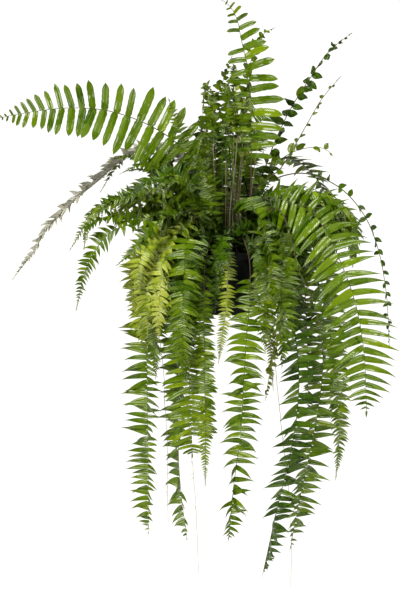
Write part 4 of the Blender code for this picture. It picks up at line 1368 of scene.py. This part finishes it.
@dataclass
class Crown:
    """The woody crown: a lumpy dome under papery scales, with the stubs of old stalks."""

    wood: bpy.types.Material
    scale: bpy.types.Material
    rings: int = 14
    scales: int = 620
    scale_size: Spot = (0.0016, 0.0005)
    stubs: int = 34
    stub_radii: Point = (0.0019, 0.0016, 0.0015)

    def seat(self, rng: np.random.Generator, reach: float) -> tuple[Vector, Vector]:
        """Draws a place on the dome.

        Args:
            rng: The source of disorder.
            reach: How near the dome's edge it may be, as a share of its radius.

        Returns:
            The place and the direction that the dome faces there.
        """
        turn, share = rng.uniform(0, 2 * math.pi), reach * math.sqrt(rng.uniform(0, 1))
        x, y = CROWN_R * share * math.cos(turn), CROWN_R * share * math.sin(turn)
        spot = Vector((x, y, crown_height(x, y) - 0.001))
        return spot, Vector((x * 0.7, y * 0.7, CROWN_R * math.sqrt(1 - share**2) + 0.01))

    def build(self) -> None:
        """Makes the dome, its scales and its stubs."""
        height = CROWN_HIGH.z - CROWN_LOW.z
        profile = [(0.004, CROWN_LOW.z)]
        for step in range(self.rings):
            turn = math.radians(90) * step / self.rings
            profile.append((CROWN_R * math.cos(turn), CROWN_LOW.z + height * math.sin(turn)))
        profile.append((0.004, CROWN_HIGH.z))
        dome = lathe("rhizome_crown_visual", profile, 64)
        middle = Vector((0, 0, CROWN_LOW.z))
        for vertex in dome.data.vertices:
            lump = noise.noise(vertex.co * 70.0) + 0.6 * noise.noise(vertex.co * 190.0)
            if vertex.co.z > CROWN_LOW.z + 0.001:
                vertex.co = middle + (vertex.co - middle) * (0.955 + 0.045 * lump)
        soften(dome, 60)
        paint(dome, self.wood)
        rng = np.random.default_rng(23)
        places = []
        for _ in range(self.scales):
            spot, facing = self.seat(rng, 0.97)
            facing = (facing.normalized() + Vector(rng.normal(0, 0.45, 3))).normalized()
            if facing.z < 0:
                facing.z = 0.1
            places.append(stand(spot, facing, (*self.scale_size, rng.uniform(0.006, 0.013))))
        fuzz = stamp("crown_fuzz", thorn(4), places, self.scale)
        stubs = []
        for number in range(self.stubs):
            spot, facing = self.seat(rng, 0.92)
            lean = (facing.normalized() + Vector(rng.normal(0, 0.22, 3))).normalized()
            reach = rng.uniform(0.010, 0.026)
            line = np.array([tuple(spot + lean * reach * share) for share in (0, 0.5, 1)])
            stubs.append(stalk(f"stub_{number}", line, np.array(self.stub_radii), 6, self.wood))
        settle(join([dome, fuzz, *stubs], "rhizome_crown_visual"), "crown_scales",
               "rhizome_crown")


@dataclass
class Hanger:
    """The moulded hanger: a hook that stands on a hub, and three wire-thin arms."""

    finish: bpy.types.Material
    hook_r: float = 0.0021
    bend_r: float = 0.016
    hook_from: int = -45  # degrees, where the bend begins
    hook_sweep: int = 250
    hook_steps: int = 40
    arm_r: float = 0.0013
    azimuths: tuple[float, ...] = (-76.0, 33.0, 186.0)
    gap: float = 0.0003
    lip: float = 0.014

    def build_hub(self) -> None:
        """Makes the plate where the arms meet, with a collar for the hook."""
        low, high, radius = HUB_LOW.z, HUB_HIGH.z, HUB_HIGH.x
        hub = lathe("hanger_hub_visual", [(0.003, low), (radius - 0.001, low),
                                          (radius, low + 0.001), (radius, high - 0.001),
                                          (radius - 0.001, high), (0.0055, high),
                                          (0.0050, high - 0.0008), (0.0030, high - 0.0008)], 48)
        soften(hub, 50, 0.0003)
        paint(hub, self.finish)
        settle(hub, "hanger_plastic", "hanger_hub")

    def build_hook(self) -> None:
        """Makes the hook, which bears on its support at the origin."""
        bend_z = self.hook_r - self.bend_r
        line = [(0.0, 0.0, HUB_HIGH.z - 0.0006), (0.0, 0.0, bend_z - 0.034),
                (0.0, 0.0, bend_z - 0.026), (0.0012, 0.0, bend_z - 0.0215),
                (0.0035, 0.0, bend_z - 0.0185)]
        for step in range(self.hook_steps + 1):
            turn = math.radians(self.hook_from + self.hook_sweep * step / self.hook_steps)
            line.append((self.bend_r * math.cos(turn), 0.0, bend_z + self.bend_r * math.sin(turn)))
        line = np.array(line)
        radii = np.full(len(line), self.hook_r)
        radii[0] = self.hook_r * 1.2
        hook = stalk("hanger_hook_visual", line, radii, 16, self.finish)
        settle(hook, "hanger_plastic", "hanger_hook")

    def build_arms(self) -> None:
        """Makes the arms, each of which ends in a clip under the pot's lip."""
        clip = LIP_R + self.arm_r + 2 * self.gap
        under = RIM_Z - self.lip - self.arm_r - 2 * self.gap
        hub_r, hub_z = HUB_HIGH.x, (HUB_LOW.z + HUB_HIGH.z) / 2
        section = [(hub_r - 0.0015, hub_z), (hub_r + 0.002, hub_z),
                   (hub_r + 0.005, hub_z - 0.0012), (hub_r + 0.007, hub_z - 0.004),
                   (LIP_R - 0.009, RIM_Z + 0.022), (LIP_R - 0.006, RIM_Z + 0.0165),
                   (clip - 0.0014, RIM_Z + 0.0085), (clip - 0.0002, RIM_Z + 0.004),
                   (clip, RIM_Z), (clip, under + 0.0016), (clip - 0.0008, under + 0.0003),
                   (clip - 0.0020, under), (LIP_R - 0.002, under)]
        for number, azimuth in enumerate(self.azimuths, 1):
            turn = math.radians(azimuth)
            line = np.array([(r * math.cos(turn), r * math.sin(turn), z) for r, z in section])
            arm = stalk(f"hanger_arm_{number}_visual", line, np.full(len(line), self.arm_r), 10,
                        self.finish)
            settle(arm, "hanger_plastic", f"hanger_arm_{number}")

    def build(self) -> None:
        """Makes the hub, the hook and the arms."""
        self.build_hub()
        self.build_hook()
        self.build_arms()


@dataclass
class Crozier:
    """A young frond: a scaly stalk whose tip is still wound up."""

    node: str
    start: Spot
    route: tuple[Point, ...]
    curl_r: float
    skin: bpy.types.Material
    hair: bpy.types.Material
    curl: float = 500.0  # degrees that the tip is wound
    close: float = 0.72  # how much nearer the curl's middle its end is
    curl_steps: int = 52
    stalk_steps: int = 26
    hairs: int = 260
    hair_size: Point = (0.0006, 0.0003, 0.0034)

    def line(self) -> np.ndarray:
        """The centre line: up the stalk and round the curl."""
        path = rooted(self.start, self.route)
        rise = Vector(path.along(np.array([path.length]))[0])
        tip = Vector(path.at(np.array([path.length]))[0])
        outward = Vector((tip.x, tip.y, 0.0)).normalized()
        outward = (outward - rise * outward.dot(rise)).normalized()
        middle = tip + outward * self.curl_r
        up = np.linspace(0, path.length * 0.99, self.stalk_steps)
        centres = [tuple(row) for row in path.at(up)]
        for step in range(self.curl_steps + 1):
            turn = math.radians(self.curl) * step / self.curl_steps
            radius = self.curl_r * (1 - self.close * step / self.curl_steps)
            centres.append(tuple(middle - outward * (radius * math.cos(turn))
                                 + rise * (radius * math.sin(turn))))
        return np.array(centres)

    def build(self) -> None:
        """Makes the stalk, its curl and its hairs."""
        line = self.line()
        share = np.linspace(0, 1, len(line))
        radii = 0.0016 + 0.0009 * np.exp(-((share - 0.62) / 0.18) ** 2) - 0.0011 * share
        body = stalk(self.node + "_visual", line, radii, 10, self.skin)
        rng = np.random.default_rng(len(self.route) * 7 + 3)
        places = []
        for _ in range(self.hairs):
            at = int(rng.integers(2, len(line) - 2))
            toward = Vector(rng.normal(0, 1, 3)).normalized()
            places.append(stand(Vector(line[at]) + toward * radii[at] * 0.6, toward,
                                self.hair_size))
        hairs = stamp(self.node + "_hairs", thorn(3), places, self.hair)
        settle(join([body, hairs], self.node + "_visual"), "crozier", self.node)


@dataclass
class Runner:
    """A wiry runner that trails over the rim and hangs, with a few short rootlets."""

    node: str
    start: Spot
    route: tuple[Point, ...]
    skin: bpy.types.Material
    radius: float = 0.0007
    steps: int = 90
    wander: float = 0.00045  # how far it strays from one step to the next
    roots: int = 9
    root_radii: Point = (0.0004, 0.0003, 0.0002)

    def build(self) -> None:
        """Makes the thread and its rootlets."""
        path = rooted(self.start, self.route)
        rng = np.random.default_rng(int(self.node[-1]))
        share = np.linspace(0, 1, self.steps)
        sway = np.cumsum(rng.normal(0, self.wander, (self.steps, 3)), axis=0)
        sway -= share[:, None] * sway[-1]
        line = path.at(np.linspace(0, path.length, self.steps)) + sway
        radii = self.radius * (1.1 - 0.5 * share)
        pieces = [stalk(self.node + "_visual", line, radii, 6, self.skin)]
        for number in range(self.roots):
            at = int(rng.integers(20, 84))
            lean = Vector((*rng.normal(0, 0.6, 2), -1.0)).normalized() * rng.uniform(0.008, 0.02)
            root = np.array([tuple(Vector(line[at]) + lean * share) for share in (0, 0.5, 1)])
            pieces.append(stalk(f"rootlet_{number}", root, np.array(self.root_radii), 4,
                                self.skin))
        settle(join(pieces, self.node + "_visual"), "runner", self.node)


# Node, start, route and the curl's radius.
CROZIERS = (
    ("crozier_1", (0.004, -0.034), mm((10, -40, 110), (20, -44, 200), (24, -46, 255)), 0.0090),
    ("crozier_2", (-0.032, 0.002), mm((-40, 4, 60), (-46, 8, 105)), 0.0075),
    ("crozier_3", (0.022, -0.030), mm((26, -48, 50), (28, -58, 82)), 0.0070),
)

# Node, start and route.
RUNNERS = (
    ("stolon_1", (-0.056, -0.010), mm((-92, -16, 18), (-108, -16, -20), (-102, -14, -250),
            (-78, -20, -500), (-62, -24, -780))),
    ("stolon_2", (0.040, 0.042), mm((74, 76, 20), (90, 88, -40), (120, 60, -350), (148, 30, -650),
            (152, 26, -815))),
    ("stolon_3", (-0.050, 0.034), mm((-86, 56, 22), (-130, 68, -40), (-142, 52, -350),
            (-134, 40, -560), (-134, 36, -665))),
)


@dataclass
class Studio:
    """The floor, the light and the camera."""

    distance: float = 9.0
    elevation: float = 12.0
    lens: float = 240.0
    aim: Point = (-0.060, 0.0, -0.434)
    floor_drop: float = 1.6

    def surface(self) -> None:
        """Adds the pale floor."""
        low = CAD_BOX[0][2] - self.floor_drop
        deselect_all()
        bpy.ops.mesh.primitive_plane_add(size=2.0, location=(0.0, 0.0, low))
        floor = bpy.context.object
        floor.name = "studio_floor"
        floor.scale = (40.0, 40.0, 1.0)
        bpy.ops.object.transform_apply(location=True, rotation=False, scale=True)
        graph = Graph("studio paper")
        tone = graph.mix(graph.grain(3.0), rgb(0.71, 0.71, 0.67), rgb(0.73, 0.73, 0.69))
        floor.data.materials.append(graph.finish(Base_Color=tone, Roughness=0.9))

    def lamp(self, name: str, azimuth: float, height: float, softness: float,
             strength: float) -> None:
        """Adds a broad, soft lamp that stands far off.

        Args:
            name: Its name.
            azimuth: Degrees round the plant, from the front towards the right.
            height: Degrees above the level.
            softness: How many degrees across it looks.
            strength: How strong it is.
        """
        turn, rise = math.radians(azimuth), math.radians(height)
        toward = Vector((math.sin(turn) * math.cos(rise), -math.cos(turn) * math.cos(rise),
                         math.sin(rise)))
        deselect_all()
        bpy.ops.object.light_add(type="SUN", location=toward * 3.0)
        lamp = bpy.context.object
        lamp.name = name
        lamp.data.angle = math.radians(softness)
        lamp.data.energy = strength
        lamp.rotation_euler = toward.to_track_quat("Z", "Y").to_euler()

    def light(self) -> None:
        """Adds the soft lamps and the pale surroundings."""
        world = bpy.data.worlds.new("studio")
        world.use_nodes = True
        shade = world.node_tree.nodes["Background"]
        shade.inputs["Color"].default_value = rgb(0.97, 0.98, 1.0)
        shade.inputs["Strength"].default_value = 0.15
        bpy.context.scene.world = world
        self.lamp("key_lamp", -28.0, 50.0, 8.0, 3.7)
        self.lamp("side_lamp", 48.0, 34.0, 12.0, 1.3)
        self.lamp("top_lamp", 165.0, 60.0, 16.0, 1.2)

    def camera(self) -> None:
        """Adds the camera, a little above the pot's height."""
        tilt = math.radians(self.elevation)
        back = Vector((0.0, -math.cos(tilt), math.sin(tilt)))
        deselect_all()
        bpy.ops.object.camera_add(location=Vector(self.aim) + back * self.distance)
        camera = bpy.context.object
        camera.data.lens = self.lens
        camera.rotation_euler = (-back).to_track_quat("-Z", "Y").to_euler()
        bpy.context.scene.camera = camera
        bpy.context.scene.view_settings.view_transform = "Standard"

    def build(self) -> None:
        """Adds all of it."""
        self.surface()
        self.light()
        self.camera()
        log.info("studio ready")


def main() -> None:
    """Builds every piece of the plant and its studio."""
    Studio().build()
    leaves = {finish.tone: finish.build() for finish in LEAF_FINISHES}
    dark_stalks = StalkFinish("stalk", rgb(0.040, 0.022, 0.012), rgb(0.075, 0.055, 0.022)).build()
    pale_stalks = StalkFinish("pale stalk", rgb(0.075, 0.045, 0.020),
                              rgb(0.300, 0.290, 0.120)).build()
    young = StalkFinish("young stalk", rgb(0.130, 0.120, 0.060), rgb(0.210, 0.240, 0.110)).build()
    thread = StalkFinish("runner", rgb(0.150, 0.100, 0.060), rgb(0.280, 0.200, 0.120)).build()
    black = PlasticFinish("pot plastic", rgb(0.003, 0.004, 0.003), 0.42).build()
    hook_black = PlasticFinish("hanger plastic", rgb(0.008, 0.009, 0.008), 0.38).build()
    earth = EarthFinish("potting mix", rgb(0.012, 0.008, 0.005), rgb(0.060, 0.036, 0.020),
                        110.0).build()
    bark = EarthFinish("bark", rgb(0.030, 0.016, 0.009), rgb(0.120, 0.070, 0.036), 160.0).build()
    scales = EarthFinish("crown scales", rgb(0.040, 0.020, 0.010), rgb(0.170, 0.095, 0.045),
                         190.0).build()
    NurseryPot(black).build()
    PottingMix(earth, bark).build()
    Crown(bark, scales).build()
    Hanger(hook_black).build()
    for node, start, route, curl_r in CROZIERS:
        Crozier(node, start, route, curl_r, young, scales).build()
    for node, start, route in RUNNERS:
        Runner(node, start, route, thread).build()
    masters = {shape: LeafletMaster(shape) for shape in LeafletShape}
    for master in masters.values():
        master.build()
    for number, plan in enumerate(PLANS):
        pale = plan.tone in (Tone.YELLOW, Tone.GREY) or plan.node.startswith("frond_skirt_left")
        Frond(plan, number, masters, leaves[plan.tone],
              pale_stalks if pale else dark_stalks).build()
    for cluster in INNER:
        light = cluster.tone in (Tone.YELLOW, Tone.BRIGHT)
        cluster.build(masters, leaves[cluster.tone], pale_stalks if light else dark_stalks)


if __name__ == "__main__":
    main()
